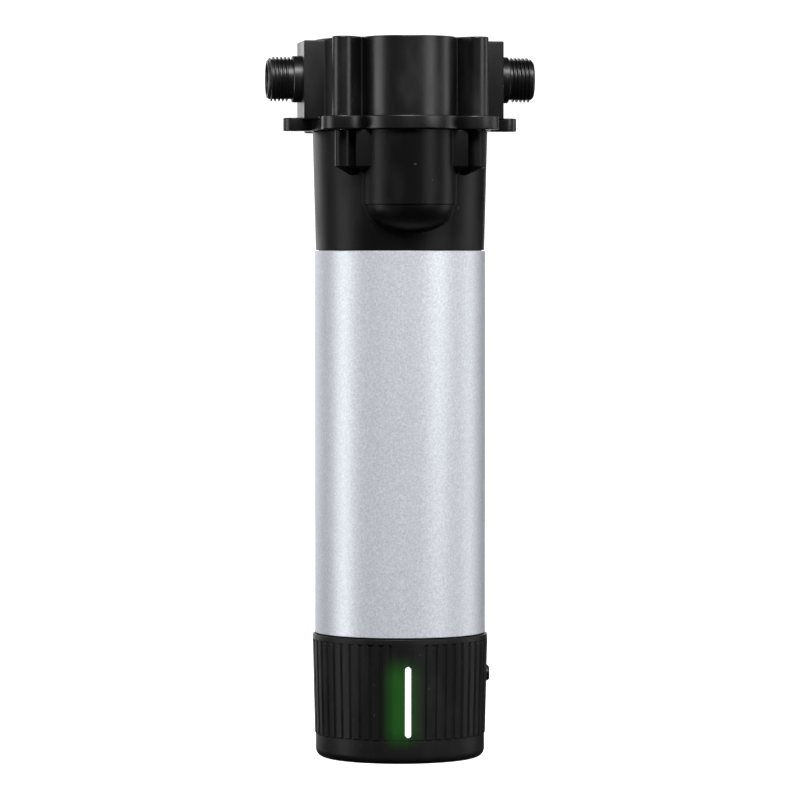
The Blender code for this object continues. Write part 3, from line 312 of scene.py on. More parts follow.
# %% [markdown]
# ## Metals, seals, boards and clear parts
# The inner pieces are seen only when the cap is off, but each one is a real material: machined
# aluminium with turning marks, bright steel screws, milky PTFE, silicone, blue acetal, and
# boards with a faint weave under the solder mask.

# %% Metals and polymers
def machined_metal(name, colour, roughness):
    finish = Finish(name, roughness, 1.0)
    turning = finish.noise(900.0, 2.0, (0.04, 0.04, 1.0))
    scuff = finish.noise(130.0, 4.0)
    scuffed = (*[c * 0.72 for c in colour], 1.0)
    finish.set("Base Color", finish.blend(scuff * 0.5, (*colour, 1.0), scuffed))
    finish.set("Roughness", roughness - 0.06 + scuff * 0.12 + turning * 0.05)
    finish.bump(turning, 0.2, 0.00003)
    return finish


def soft_polymer(name, colour, roughness, subsurface=0.05):
    finish = Finish(name, roughness, Subsurface_Weight=subsurface)
    cloud = finish.noise(40.0, 3.0)
    fine = finish.noise(900.0, 2.0)
    shaded = (*[c * 0.82 for c in colour], 1.0)
    finish.set("Base Color", finish.blend(cloud * 0.5, (*colour, 1.0), shaded))
    finish.set("Roughness", roughness - 0.05 + cloud * 0.1)
    finish.bump(fine, 0.2, 0.00003)
    return finish


ALUMINIUM = machined_metal("turned_aluminium", (0.72, 0.73, 0.75), 0.32)
STEEL = machined_metal("bright_steel", (0.60, 0.60, 0.61), 0.24)
MAGNET = machined_metal("nickel_magnet", (0.42, 0.42, 0.44), 0.22)
PTFE = soft_polymer("milky_ptfe", (0.86, 0.86, 0.84), 0.42, 0.1)
SILICONE = soft_polymer("white_silicone", (0.80, 0.80, 0.78), 0.55, 0.15)
ACETAL = soft_polymer("blue_acetal", (0.08, 0.20, 0.44), 0.38)
print("metals and polymers:", len(bpy.data.materials), "materials so far")


# %% Boards and quartz
def circuit_board(name, colour, weave_colour):
    finish = Finish(name, 0.42, Specular_IOR_Level=0.5)
    warp = finish.noise(1400.0, 1.0, (1.0, 0.2, 1.0))
    weft = finish.noise(1400.0, 1.0, (0.2, 1.0, 1.0))
    weave = warp * 0.5 + weft * 0.5
    copper = finish.noise(150.0, 0.0, (1.0, 0.35, 1.0)).smooth(0.50, 0.53)
    base = finish.blend(copper * 0.55, (*colour, 1.0), (*weave_colour, 1.0))
    finish.set("Base Color", finish.blend(weave * 0.25, base, (*[c * 0.6 for c in colour], 1.0)))
    finish.set("Roughness", 0.36 + weave * 0.12)
    finish.bump(copper * 0.8 + weave * 0.2, 0.3, 0.00004)
    return finish


def clear_quartz():
    finish = Finish("clear_quartz", 0.03, Transmission_Weight=0.95, IOR=1.46)
    haze = finish.noise(90.0, 3.0)
    finish.set("Base Color", finish.blend(haze * 0.2, (0.96, 0.98, 1.0, 1.0), (0.86, 0.92, 0.95, 1.0)))
    finish.set("Roughness", 0.02 + haze * 0.03)
    return finish


GREEN_BOARD = circuit_board("green_board", (0.012, 0.13, 0.05), (0.03, 0.24, 0.09))
WHITE_BOARD = circuit_board("white_board", (0.80, 0.80, 0.79), (0.70, 0.70, 0.69))
QUARTZ = clear_quartz()
print("boards and quartz:", [kind.material.name for kind in (GREEN_BOARD, WHITE_BOARD, QUARTZ)])

# %% [markdown]
# ## Light strip
# The strip is a milky light guide lit from behind. Its middle burns out to white, and its rim
# keeps a trace of green. The green light it spills on the cap plastic beside it is painted there as
# emission.

# %% Lit strip finish
STRIP_ANGLE = math.radians(-2.0)
STRIP_WIDTH = 2.5 * MM
# The green below is painted light: the strip's green spill, painted as emission on the cap plastic
# beside it.
PAINTED_GLOW_GREEN = (0.006, 0.066, 0.003, 1.0)


def lit_strip():
    finish = Finish("lit_light_guide", 0.3, Emission_Strength=1.3)
    ripple = finish.noise(200.0, 2.0)
    finish.set("Base Color", finish.blend(ripple * 0.3, (0.9, 1.0, 0.92, 1.0), (0.8, 0.96, 0.84, 1.0)))
    finish.set("Emission Color", finish.blend(ripple * 0.3, (0.97, 1.0, 0.98, 1.0),
                                              (0.86, 1.0, 0.9, 1.0)))
    finish.set("Roughness", 0.25 + ripple * 0.1)
    return finish


def paint_glow_on_cap():
    """Paints the strip's green spill light onto the plastic beside it as emission, more on its left
    than on its right.
    """
    finish = black_plastic("cap_moulding_painted_glow", 0.007, 0.42, 0.12)
    finish.shader.inputs["Emission Strength"].default_value = 1.0
    across = finish.axis("X") * math.cos(STRIP_ANGLE) + finish.axis("Y") * math.sin(STRIP_ANGLE)
    height = finish.axis("Z")
    left = across.smooth(-13.0 * MM, -5.0 * MM) * (1.0 - (across > 0.0))
    right = (1.0 - across.smooth(0.0, 9.0 * MM)) * (across > 0.0) * 0.55
    ends = height.smooth(5.0 * MM, 18.0 * MM) * (1.0 - height.smooth(39.0 * MM, 52.0 * MM))
    front = (finish.axis("Y") * -1.0) > 30.0 * MM
    # Painted light: the mask where green light is painted as emission on the cap, fading away from the
    # strip.
    painted_glow = (left + right) * ends * front
    finish.set("Emission Color", finish.blend(painted_glow, (0.0, 0.0, 0.0, 1.0), PAINTED_GLOW_GREEN))
    return finish


LIT_STRIP = lit_strip()
PAINTED_GLOW_CAP = paint_glow_on_cap()
print("light strip is", STRIP_WIDTH / MM, "mm wide")

# %% [markdown]
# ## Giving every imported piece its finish
# The record names a material slot for each piece, so one table dresses them all.

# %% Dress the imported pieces
BY_SLOT = {"black_plastic": SATIN_BLACK, "silver_sleeve": SILVER, "aluminium": ALUMINIUM,
           "stainless": STEEL, "black_rubber": RUBBER, "white_silicone": SILICONE,
           "white_ptfe": PTFE, "blue_acetal": ACETAL, "quartz": QUARTZ,
           "green_board": GREEN_BOARD, "white_board": WHITE_BOARD, "component": CHIP,
           "light_guide": LIT_STRIP, "magnet": MAGNET}


def dress(obj, finish):
    obj.data.materials.clear()
    obj.data.materials.append(finish.material)


for part in frame["record"]["subparts"]:
    dress(nodes[part["node"]], BY_SLOT[part["material_slot"]])

# %% [markdown]
# ## A moulding as one turned skin
# The head, the neck and the cap are upright mouldings whose lobes, pillars, blocks and ribs all
# face outwards. Such a shape can be described by one rule: how far out does the surface lie at
# each angle and height? Every feature gives its own distance, a soft maximum joins them with
# small fillets, and a grid of columns and rows turns the rule into a clean mesh with rounded
# edges. Cutting a low model and bevelling it would leave far messier edges.

# %% Features seen from the axis
FILLET = 0.7 * MM
CREASE_ANGLE = 32.0


def edge_inset(height, low, high, radius):
    """How far a rounded rim pulls back at this height, or None past the feature's ends."""
    if height < low - 1e-9 or height > high + 1e-9:
        return None
    reach = max(0.0, radius - min(height - low, high - height))
    return radius - math.sqrt(max(0.0, radius * radius - reach * reach))


def round_lobe(x, y, radius, low, high, rim=0.5 * MM):
    """Distance from the axis to the far side of an upright round column."""
    def reach(turns, height):
        inset = edge_inset(height, low, high, rim)
        if inset is None:
            return np.zeros_like(turns)
        along = x * np.cos(turns) + y * np.sin(turns)
        inside = along ** 2 - (x * x + y * y) + (radius - inset) ** 2
        return np.where(inside > 0, along + np.sqrt(np.maximum(inside, 0.0)), 0.0)
    return reach


def square_lobe(x_range, y_range, low, high, rim=0.5 * MM):
    """Distance from the axis to the far side of an upright rectangular block."""
    def reach(turns, height):
        inset = edge_inset(height, low, high, rim)
        if inset is None:
            return np.zeros_like(turns)
        near, far = np.full_like(turns, -1e9), np.full_like(turns, 1e9)
        for span, way in ((x_range, np.cos(turns)), (y_range, np.sin(turns))):
            way = np.where(np.abs(way) < 1e-9, 1e-9, way)
            first, second = (span[0] + inset) / way, (span[1] - inset) / way
            near = np.maximum(near, np.minimum(first, second))
            far = np.minimum(far, np.maximum(first, second))
        return np.where((far > near) & (far > 0), far, 0.0)
    return reach


print("crease angle:", CREASE_ANGLE, "degrees")


# %% Skin from features
def soft_max(first, second, width):
    """The larger of two reaches, with a small fillet where they meet."""
    overlap = np.maximum(width - np.abs(first - second), 0.0) / width
    return np.maximum(first, second) + overlap ** 2 * width / 4


def skin(name, reach, rows, columns):
    """A closed solid: each row is one turn of the outline at its height."""
    turns = np.arange(columns) * math.tau / columns
    bm = bmesh.new()
    loops = []
    for height in rows:
        radii = reach(turns, height)
        loops.append([bm.verts.new((r * math.cos(a), r * math.sin(a), height))
                      for r, a in zip(radii, turns)])
    bm.faces.new(list(reversed(loops[0])))
    bm.faces.new(loops[-1])
    for lower, upper in zip(loops, loops[1:]):
        for i in range(columns):
            j = (i + 1) % columns
            bm.faces.new((lower[i], lower[j], upper[j], upper[i]))
    return add_mesh(name, bm, CREASE_ANGLE)


def rim_rows(low, high, rim=0.5 * MM, steps=3):
    """Rows for one feature: close together where its rims round over."""
    curve = [rim * (1 - math.cos(math.pi / 2 * i / steps)) for i in range(steps + 1)]
    return [low + c for c in curve] + [high - c for c in reversed(curve)]


def sorted_rows(*groups):
    rows = []
    for height in sorted(height for group in groups for height in group):
        if not rows or height - rows[-1] > 0.006 * MM:
            rows.append(height)
    return rows


print("fillet between features:", FILLET / MM, "mm")

# %% [markdown]
# ## Turned pieces, threads and cuts
# Bores and ports are turned shapes. A pipe thread is a ridge that climbs along a helix and fades
# out at both ends. The Manifold solver joins and cuts these closed meshes quickly and cleanly.

# %% Turned solids
def lying(start, direction):
    """Moves a shape made along Z so that it starts at a point and runs along a direction."""
    return Matrix.Translation(start) @ Vector(direction).to_track_quat("Z", "Y").to_matrix().to_4x4()


def turned(name, profile, steps, centre=(0.0, 0.0), lay=None):
    """Turns a closed outline of (radius, height) about Z, and then lays it along a direction."""
    bm = bmesh.new()
    rings = []
    for radius, height in profile:
        if radius < 1e-7:
            rings.append([bm.verts.new((0.0, 0.0, height))] * steps)
        else:
            rings.append([bm.verts.new((radius * math.cos(math.tau * i / steps),
                                        radius * math.sin(math.tau * i / steps), height))
                          for i in range(steps)])
    for lower, upper in zip(rings, rings[1:] + rings[:1]):
        for i in range(steps):
            j = (i + 1) % steps
            corners = list(dict.fromkeys((lower[i], lower[j], upper[j], upper[i])))
            if len(corners) > 2:
                bm.faces.new(corners)
    obj = add_mesh(name, bm)
    obj.data.transform(lying(*lay) if lay else Matrix.Translation((*centre, 0.0)))
    return obj


def plug(name, radius, low, high, steps, centre=(0.0, 0.0), lay=None):
    """A plain round cutter."""
    return turned(name, [(0.0, low), (radius, low), (radius, high), (0.0, high)], steps, centre, lay)


print("turned solids ready")


# %% Helical ridges
def helix_ridge(name, root, crest, pitch, low, high, half_root, half_crest, steps, lead=0.0, lay=None):
    """A right-hand thread ridge that runs out smoothly at both ends."""
    bm = bmesh.new()
    turns = (high - low) / pitch
    count = round(turns * steps)
    sections = []
    for i in range(count + 1):
        share = i / count
        angle = math.tau * (turns * share + lead / pitch)
        height = low + (high - low) * share
        run = min(1.0, min(share, 1.0 - share) * turns * 4.0)
        inner = root - 0.5 * MM
        outer = inner + (crest - inner) * max(run, 0.1)
        shoulder, shoulder_half = outer - 0.06 * MM, half_crest + 0.05 * MM
        corners = ((inner, -half_root), (shoulder, -shoulder_half), (outer, -half_crest),
                   (outer, half_crest), (shoulder, shoulder_half), (inner, half_root))
        sections.append([bm.verts.new((r * math.cos(angle), r * math.sin(angle), height + z))
                         for r, z in corners])
    bm.faces.new(sections[0])
    bm.faces.new(list(reversed(sections[-1])))
    for before, after in zip(sections, sections[1:]):
        for i in range(6):
            j = (i + 1) % 6
            bm.faces.new((before[i], after[i], after[j], before[j]))
    obj = add_mesh(name, bm, 50.0)
    if lay:
        obj.data.transform(lying(*lay))
    return obj


print("thread ridges ready")


# %% Booleans and hand-over
def carve(target, operation, *tools):
    """Applies a Boolean with each tool in turn, and removes the tools."""
    for tool in tools:
        modifier = target.modifiers.new("carve", "BOOLEAN")
        modifier.operation = operation
        modifier.solver = "MANIFOLD"
        modifier.object = tool
    graph = bpy.context.evaluated_depsgraph_get()
    shape = bpy.data.meshes.new_from_object(target.evaluated_get(graph))
    target.modifiers.clear()
    target.data = shape
    for tool in tools:
        bpy.data.objects.remove(tool, do_unlink=True)
    shape.shade_smooth()
    shape.set_sharp_from_angle(angle=math.radians(CREASE_ANGLE))


def stand_for(piece, node, body, finish):
    """The finished piece takes over from a packed one."""
    dress(piece, finish)
    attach(piece, body)
    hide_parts(node)
    print(piece.name, "has", len(piece.data.polygons), "faces")


# %% [markdown]
# ## Head
# The head is one moulding: a drum, the half-round flow chamber on its front, two port blocks,
# four screw pillars, and a thin lobed flange with an ear on each side. The flange and the parts
# above it are features of one skin. The ports carry a G 1/2 thread over a plain root.

# %% Sizes read from the frame
HEAD_LOW, HEAD_HIGH = (corner.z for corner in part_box("head"))
PORT_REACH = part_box("head")[1].x
SLEEVE_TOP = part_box("outer_sleeve")[1].z
SLEEVE_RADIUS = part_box("outer_sleeve")[1].x
CAP_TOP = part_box("end_cap")[1].z
BODY_LOW, BODY_HIGH = (corner.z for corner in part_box("body_tube"))
NECK_LOW_RADIUS = SLEEVE_RADIUS - 0.55 * MM
NECK_HIGH_RADIUS = NECK_LOW_RADIUS + 1.5 * MM
FLANGE_HIGH = HEAD_LOW + 6.2 * MM
PORT_AXIS = HEAD_LOW + 24.2 * MM
BORE_RADIUS = 34.05 * MM
TURBINE_Y = -43.35 * MM
TURBINE_RADIUS = 8.0 * MM
CHAMBER_RADIUS = 21.6 * MM
CHAMBER_Y = TURBINE_Y + 11.3 * MM
PILLAR_CIRCLE = NECK_HIGH_RADIUS + 7.15 * MM
PILLAR_TURN = math.radians(40.1)
CORNERS = [(sx * PILLAR_CIRCLE * math.sin(PILLAR_TURN), sy * PILLAR_CIRCLE * math.cos(PILLAR_TURN))
           for sy in (-1, 1) for sx in (-1, 1)]
BLOCK_X = NECK_HIGH_RADIUS + 5.85 * MM
EAR_X = NECK_HIGH_RADIUS + 8.55 * MM
print("head from", round(HEAD_LOW / MM, 1), "to", round(HEAD_HIGH / MM, 1), "mm")


# %% Port with its thread
THREAD_CREST = 20.955 / 2 * MM
THREAD_PITCH = 1.814 * MM
PORT_ROOT = THREAD_CREST - 1.16 * MM
COLLAR_RADIUS = 10.9 * MM
COLLAR_LENGTH = 6.2 * MM
PORT_SINK = 2 * MM


def port_pieces(side):
    length = PORT_REACH - BLOCK_X + PORT_SINK
    lay = (Vector((side * (BLOCK_X - PORT_SINK), 0.0, PORT_AXIS)), (side, 0.0, 0.0))
    core = turned(f"port_core_{side}",
                  [(0.0, 0.0), (COLLAR_RADIUS, 0.0), (COLLAR_RADIUS, COLLAR_LENGTH - 0.4 * MM),
                   (COLLAR_RADIUS - 0.4 * MM, COLLAR_LENGTH), (PORT_ROOT, COLLAR_LENGTH),
                   (PORT_ROOT, length - 0.9 * MM), (PORT_ROOT - 0.55 * MM, length - 0.1 * MM),
                   (PORT_ROOT - 0.7 * MM, length), (0.0, length)], 96, lay=lay)
    ridge = helix_ridge(f"port_thread_{side}", PORT_ROOT, THREAD_CREST, THREAD_PITCH,
                        COLLAR_LENGTH + MM, length - 0.9 * MM, 0.43 * THREAD_PITCH,
                        0.09 * THREAD_PITCH, 64, lay=lay)
    return core, ridge


print("port thread:", THREAD_CREST * 2 / MM, "mm across,", THREAD_PITCH / MM, "mm pitch")

# %% Head features
BLOCK_LOW = FLANGE_HIGH - MM
BLOCK_HIGH = HEAD_HIGH - 0.9 * MM
BLOCK_HALF = 15 * MM
SHOULDER_HALF = 23.9 * MM
EAR_HALF = 5.5 * MM
PILLAR_RADIUS = 5.3 * MM
FLANGE_LOBE = 10.6 * MM
FLANGE_RADIUS = NECK_HIGH_RADIUS + 1.6 * MM
DRUM_RADIUS = NECK_HIGH_RADIUS - 0.9 * MM
HEAD_FEATURES = [
    round_lobe(0.0, 0.0, FLANGE_RADIUS, HEAD_LOW, FLANGE_HIGH),
    round_lobe(0.0, 0.0, DRUM_RADIUS, BLOCK_LOW, HEAD_HIGH),
    round_lobe(0.0, CHAMBER_Y, CHAMBER_RADIUS + 2.8 * MM, HEAD_LOW, FLANGE_HIGH),
    round_lobe(0.0, CHAMBER_Y, CHAMBER_RADIUS, BLOCK_LOW, HEAD_HIGH),
    square_lobe((-SHOULDER_HALF, SHOULDER_HALF), (CHAMBER_Y - 1.5 * MM, 0.0), BLOCK_LOW, HEAD_HIGH),
    square_lobe((-BLOCK_X, BLOCK_X), (-BLOCK_HALF, BLOCK_HALF), BLOCK_LOW, BLOCK_HIGH),
    square_lobe((-EAR_X, EAR_X), (-EAR_HALF, EAR_HALF), HEAD_LOW, FLANGE_HIGH),
]
for x, y in CORNERS:
    HEAD_FEATURES.append(round_lobe(x, y, PILLAR_RADIUS, BLOCK_LOW, HEAD_HIGH))
    HEAD_FEATURES.append(round_lobe(x * 0.985, y * 0.985, FLANGE_LOBE, HEAD_LOW, FLANGE_HIGH))
for side in (-1, 1):
    HEAD_FEATURES.append(round_lobe(side * EAR_X, 0.0, EAR_HALF, HEAD_LOW, FLANGE_HIGH))


def head_reach(turns, height):
    total = np.zeros_like(turns)
    for feature in HEAD_FEATURES:
        total = soft_max(total, feature(turns, height), FILLET)
    return total


print("head features:", len(HEAD_FEATURES))

# %% Water ways through the head
PORT_BORE = 7.2 * MM
LINK_RADIUS = 5.5 * MM
WINDOW_SEAT = 26.35 * MM
GASKET_RECESS = 1.3 * MM
CUT_LOW = HEAD_LOW - MM


def port_way(name, side, length):
    mouth = PORT_BORE + 0.5 * MM
    return turned(name, [(0.0, -2 * MM), (mouth, -2 * MM), (mouth, 0.0), (PORT_BORE, 0.6 * MM),
                         (PORT_BORE, length), (0.0, length)], 72,
                  lay=((side * PORT_REACH, 0.0, PORT_AXIS), (-side, 0.0, 0.0)))


def water_ways():
    inlet = port_way("inlet_way", -1.0, PORT_REACH - BORE_RADIUS + 1.5 * MM)
    outlet = port_way("outlet_way", 1.0, PORT_REACH - 10 * MM)
    link_start = Vector((-BORE_RADIUS - 2 * MM, 0.0, PORT_AXIS))
    link_way = Vector((0.0, TURBINE_Y, PORT_AXIS)) - link_start
    link = plug("inlet_link", LINK_RADIUS, 0.0, link_way.length, 40, lay=(link_start, link_way))
    well = plug("turbine_well", TURBINE_RADIUS, CUT_LOW, PORT_AXIS + 6 * MM, 64, (0.0, TURBINE_Y))
    seat, centre_radius, centre_top = HEAD_LOW + 9.6 * MM, 14.5 * MM, PORT_AXIS + 8 * MM
    centre = turned("centre_way", [(0.0, CUT_LOW), (WINDOW_SEAT, CUT_LOW), (WINDOW_SEAT, seat),
                                   (centre_radius, seat), (centre_radius, centre_top),
                                   (0.0, centre_top)], 96)
    recess_top = HEAD_LOW + GASKET_RECESS
    recess = plug("gasket_recess", BORE_RADIUS + 4.55 * MM, CUT_LOW, recess_top, 96)
    lobe = plug("gasket_recess_lobe", TURBINE_RADIUS + 3.35 * MM, CUT_LOW, recess_top, 64,
                (0.0, TURBINE_Y))
    return [inlet, outlet, link, well, centre, recess, lobe]


print("port bore:", PORT_BORE * 2 / MM, "mm")

# %% Build the head
SCREW_HOLE = 2.1 * MM
COUNTERBORE = 3.9 * MM
COUNTERBORE_DEPTH = 5 * MM
EAR_HOLE = 2.2 * MM


def make_head():
    just_above = FLANGE_HIGH + 0.02 * MM
    rows = sorted_rows(rim_rows(HEAD_LOW, FLANGE_HIGH), [BLOCK_LOW - 0.02 * MM],
                       rim_rows(BLOCK_LOW, HEAD_HIGH)[:4], [just_above, FLANGE_HIGH + 0.4 * MM],
                       rim_rows(just_above, BLOCK_HIGH)[4:], [BLOCK_HIGH + 0.02 * MM],
                       rim_rows(just_above, HEAD_HIGH)[4:])
    head = skin("head_moulding", head_reach, rows, 1440)
    carve(head, "UNION", *[piece for side in (-1, 1) for piece in port_pieces(side)])
    cuts = water_ways()
    shelf = HEAD_HIGH - COUNTERBORE_DEPTH
    for x, y in CORNERS:
        cuts.append(turned("screw_well", [(0.0, CUT_LOW), (SCREW_HOLE, CUT_LOW), (SCREW_HOLE, shelf),
                                          (COUNTERBORE, shelf), (COUNTERBORE, HEAD_HIGH - 0.4 * MM),
                                          (COUNTERBORE + 0.4 * MM, HEAD_HIGH),
                                          (COUNTERBORE + 0.4 * MM, HEAD_HIGH + MM),
                                          (0.0, HEAD_HIGH + MM)], 40, (x, y)))
    for side in (-1, 1):
        cuts.append(plug("ear_hole", EAR_HOLE, CUT_LOW, FLANGE_HIGH + MM, 32, (side * EAR_X, 0.0)))
    carve(head, "DIFFERENCE", *cuts)
    stand_for(head, "head", "housing", SATIN_BLACK)


make_head()

# %% [markdown]
# ## Body tube
# Under the flange the tube carries the turbine bulge, two square cheeks and four screw bosses.
# The bulge ends in a crisp lip, and under the lip a shallow dome runs back into the tube. The
# cheeks and bosses have sloping undersides, so that the moulding leaves its tool. The middle of
# the tube is hidden by the sleeve, and the skirt at the bottom carries the cap's thread.

# %% Body skin
SKIRT_LOW = BODY_LOW
SKIRT_RADIUS = 35.5 * MM
SLEEVE_SEAT = BODY_LOW + 12.7 * MM
TUBE_RADIUS = SLEEVE_RADIUS - 1.85 * MM
NECK_LOW = SLEEVE_TOP + 0.3 * MM
BULGE_EDGE = BODY_HIGH - 34.0 * MM
BULGE_DEPTH = 14.2 * MM
BULGE_LIP = 0.7 * MM
BOSS_LOW = BODY_HIGH - 16.7 * MM


def tube_wall(turns, height):
    if height < SLEEVE_SEAT:
        radius = SKIRT_RADIUS - edge_inset(height, SKIRT_LOW, SLEEVE_SEAT, 0.4 * MM)
    elif height < NECK_LOW:
        radius = TUBE_RADIUS
    else:
        share = (height - NECK_LOW) / (BODY_HIGH - NECK_LOW)
        radius = NECK_LOW_RADIUS + (NECK_HIGH_RADIUS - NECK_LOW_RADIUS) * share
        radius -= edge_inset(height, NECK_LOW, BODY_HIGH, 0.3 * MM)
    return np.full_like(turns, radius)


def bulge_wall(turns, height):
    drop = (BULGE_EDGE - height) / BULGE_DEPTH
    if drop > 0.98:
        return np.zeros_like(turns)
    radius = CHAMBER_RADIUS
    if drop > 0.0:
        radius = (CHAMBER_RADIUS - BULGE_LIP * min(1.0, drop * 40)) * math.sqrt(1.0 - drop * drop)
    return round_lobe(0.0, CHAMBER_Y, radius, NECK_LOW, BODY_HIGH, 0.0)(turns, height)


print("neck from", round(NECK_LOW / MM, 1), "to", round(BODY_HIGH / MM, 1), "mm")

# %% Cheeks and bosses
FOOT_LOW = BOSS_LOW - 9 * MM
BOSS_RADIUS = 4.0 * MM
WEB_HALF = 2.6 * MM
CHEEK_SLOPE = 2.5
BOSS_SLOPE = 3.0


def with_underside(feature, slope):
    """Below its foot a feature shrinks back into the tube instead of ending square."""
    def reach(turns, height):
        if height >= BOSS_LOW:
            return feature(turns, height)
        return feature(turns, BOSS_LOW) - (BOSS_LOW - height) * slope
    return reach


BODY_FEATURES = [bulge_wall]
for side in (-1, 1):
    cheek_x = sorted((side * (CHAMBER_RADIUS + 4.4 * MM), side * (CHAMBER_RADIUS - 6 * MM)))
    cheek_y = (CHAMBER_Y - 11 * MM, CHAMBER_Y + 4 * MM)
    cheek = square_lobe(cheek_x, cheek_y, FOOT_LOW, BODY_HIGH, 0.3 * MM)
    BODY_FEATURES.append(with_underside(cheek, CHEEK_SLOPE))
for x, y in CORNERS:
    boss = round_lobe(x, y, BOSS_RADIUS, FOOT_LOW, BODY_HIGH, 0.2 * MM)
    back, front = sorted((y, y * 0.86))
    web = square_lobe((x - WEB_HALF, x + WEB_HALF), (back, front), FOOT_LOW, BODY_HIGH, 0.2 * MM)
    BODY_FEATURES += [with_underside(boss, BOSS_SLOPE), with_underside(web, BOSS_SLOPE)]


def body_reach(turns, height):
    total = tube_wall(turns, height)
    if height > NECK_LOW + 0.5 * MM:
        for feature in BODY_FEATURES:
            total = soft_max(total, feature(turns, height), 0.45 * MM)
    return total


print("body features:", len(BODY_FEATURES))


# %% Cuts inside the body
def block(name, low, high):
    bm = bmesh.new()
    bmesh.ops.create_cube(bm, size=1.0)
    for vertex in bm.verts:
        vertex.co = [a + (b - a) * (c + 0.5) for a, b, c in zip(low, high, vertex.co)]
    return add_mesh(name, bm)


SKIRT_BORE = SKIRT_RADIUS - 2.2 * MM
SKIRT_TOP = SKIRT_LOW + 16.5 * MM
WINDOW_WAY = 23.0 * MM
TURBINE_FLOOR = HEAD_LOW - 31.0 * MM


def body_bore():
    low, high, mouth = SKIRT_LOW - MM, BODY_HIGH + MM, SKIRT_BORE + 0.5 * MM
    seat_low, seat_high = SKIRT_TOP + 4 * MM, SKIRT_TOP + 7 * MM
    return turned("body_bore", [(0.0, low), (mouth, low), (mouth, SKIRT_LOW),
                                (SKIRT_BORE, SKIRT_LOW + 0.6 * MM), (SKIRT_BORE, SKIRT_TOP),
                                (WINDOW_WAY, SKIRT_TOP), (WINDOW_WAY, seat_low),
                                (WINDOW_SEAT, seat_low), (WINDOW_SEAT, seat_high),
                                (BORE_RADIUS, seat_high), (BORE_RADIUS, high), (0.0, high)], 144)


def body_cuts():
    well = plug("turbine_bore", TURBINE_RADIUS, TURBINE_FLOOR, BODY_HIGH + MM, 72, (0.0, TURBINE_Y))
    outlet = block("turbine_outlet", (-4.5 * MM, TURBINE_Y, TURBINE_FLOOR + 3.6 * MM),
                   (4.5 * MM, -BORE_RADIUS + 4 * MM, TURBINE_FLOOR + 9 * MM))
    cuts = [body_bore(), well, outlet]
    for side in (-1, 1):
        pocket_x = sorted((side * (TURBINE_RADIUS + 2.3 * MM), side * (TURBINE_RADIUS + 7.3 * MM)))
        cuts.append(block("sensor_pocket", (pocket_x[0], TURBINE_Y - 1.7 * MM, BODY_HIGH - 25 * MM),
                          (pocket_x[1], TURBINE_Y + 7 * MM, BODY_HIGH + MM)))
        slot_x = sorted((side * (SKIRT_BORE - MM), side * (SKIRT_BORE + 1.3 * MM)))
        cuts.append(block("key_slot", (slot_x[0], -1.85 * MM, SKIRT_LOW - MM),
                          (slot_x[1], 1.85 * MM, SKIRT_TOP - 0.5 * MM)))
    for x, y in CORNERS:
        cuts.append(plug("boss_hole", SCREW_HOLE, BOSS_LOW + 2 * MM, BODY_HIGH + MM, 32, (x, y)))
    return cuts


print("skirt bore:", round(SKIRT_BORE * 2 / MM, 1), "mm")

# %% Build the body
CAP_PITCH = 3 * MM
SKIRT_CREST = SKIRT_RADIUS + 1.3 * MM


def make_body():
    steps = [BULGE_EDGE + 0.6 * MM, BULGE_EDGE + 0.02 * MM]
    steps += [BULGE_EDGE - BULGE_DEPTH * drop for drop in (0.0, 0.025, 0.06, 0.1)]
    steps += [BULGE_EDGE - BULGE_DEPTH * (0.1 + 0.035 * i) for i in range(1, 26)]
    steps += [BOSS_LOW + MM * s for s in (0.6, 0.1, -0.1)]
    steps += [BOSS_LOW - 0.35 * MM * i for i in range(1, 14)]
    rows = sorted_rows(rim_rows(SKIRT_LOW, SLEEVE_SEAT - 0.02 * MM, 0.4 * MM),
                       [SLEEVE_SEAT + 0.01 * MM, NECK_LOW - 0.02 * MM],
                       rim_rows(NECK_LOW, BODY_HIGH, 0.3 * MM), steps,
                       [NECK_LOW + MM * s for s in (0.45, 0.55, 1.5, 3.0, 5.0)])
    body = skin("body_moulding", body_reach, rows, 1080)
    thread = helix_ridge("skirt_thread", SKIRT_RADIUS, SKIRT_CREST, CAP_PITCH, SKIRT_LOW + 2 * MM,
                         SKIRT_LOW + 10 * MM, 0.84 * MM, 0.42 * MM, 180)
    carve(body, "UNION", thread)
    carve(body, "DIFFERENCE", *body_cuts())
    stand_for(body, "body_tube", "housing", NECK_BLACK)


make_body()

# %% [markdown]
# ## Lamp cap
# The cap is gripped to unscrew it, so its wall is a ring of ribs with flat fronts. Each rib ends
# in a small round nose under the smooth collar, and runs down to the plain foot band, whose
# lower edge is a generous fillet. Around the light strip the wall stays plain.

# %% Cap skin
RIB_COUNT = 50
RIB_DEPTH = 0.9 * MM
RIB_NOSE = 1.7 * MM
RIB_HALF_FRONT = 0.27
GROOVE_SIDE = 0.09
FOOT_RUN = 0.5 * MM
FOOT_HIGH = 11.0 * MM
FOOT_FILLET = 4.0 * MM
FOOT_RADIUS = SLEEVE_RADIUS - 0.4 * MM
RIB_HIGH = CAP_TOP - 2.5 * MM
PANEL_HALF_TURN = math.radians(13.5)
STRIP_HEADING = -math.pi / 2 + STRIP_ANGLE
STRIP_LOW, STRIP_HIGH = (corner.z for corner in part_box("light_guide"))


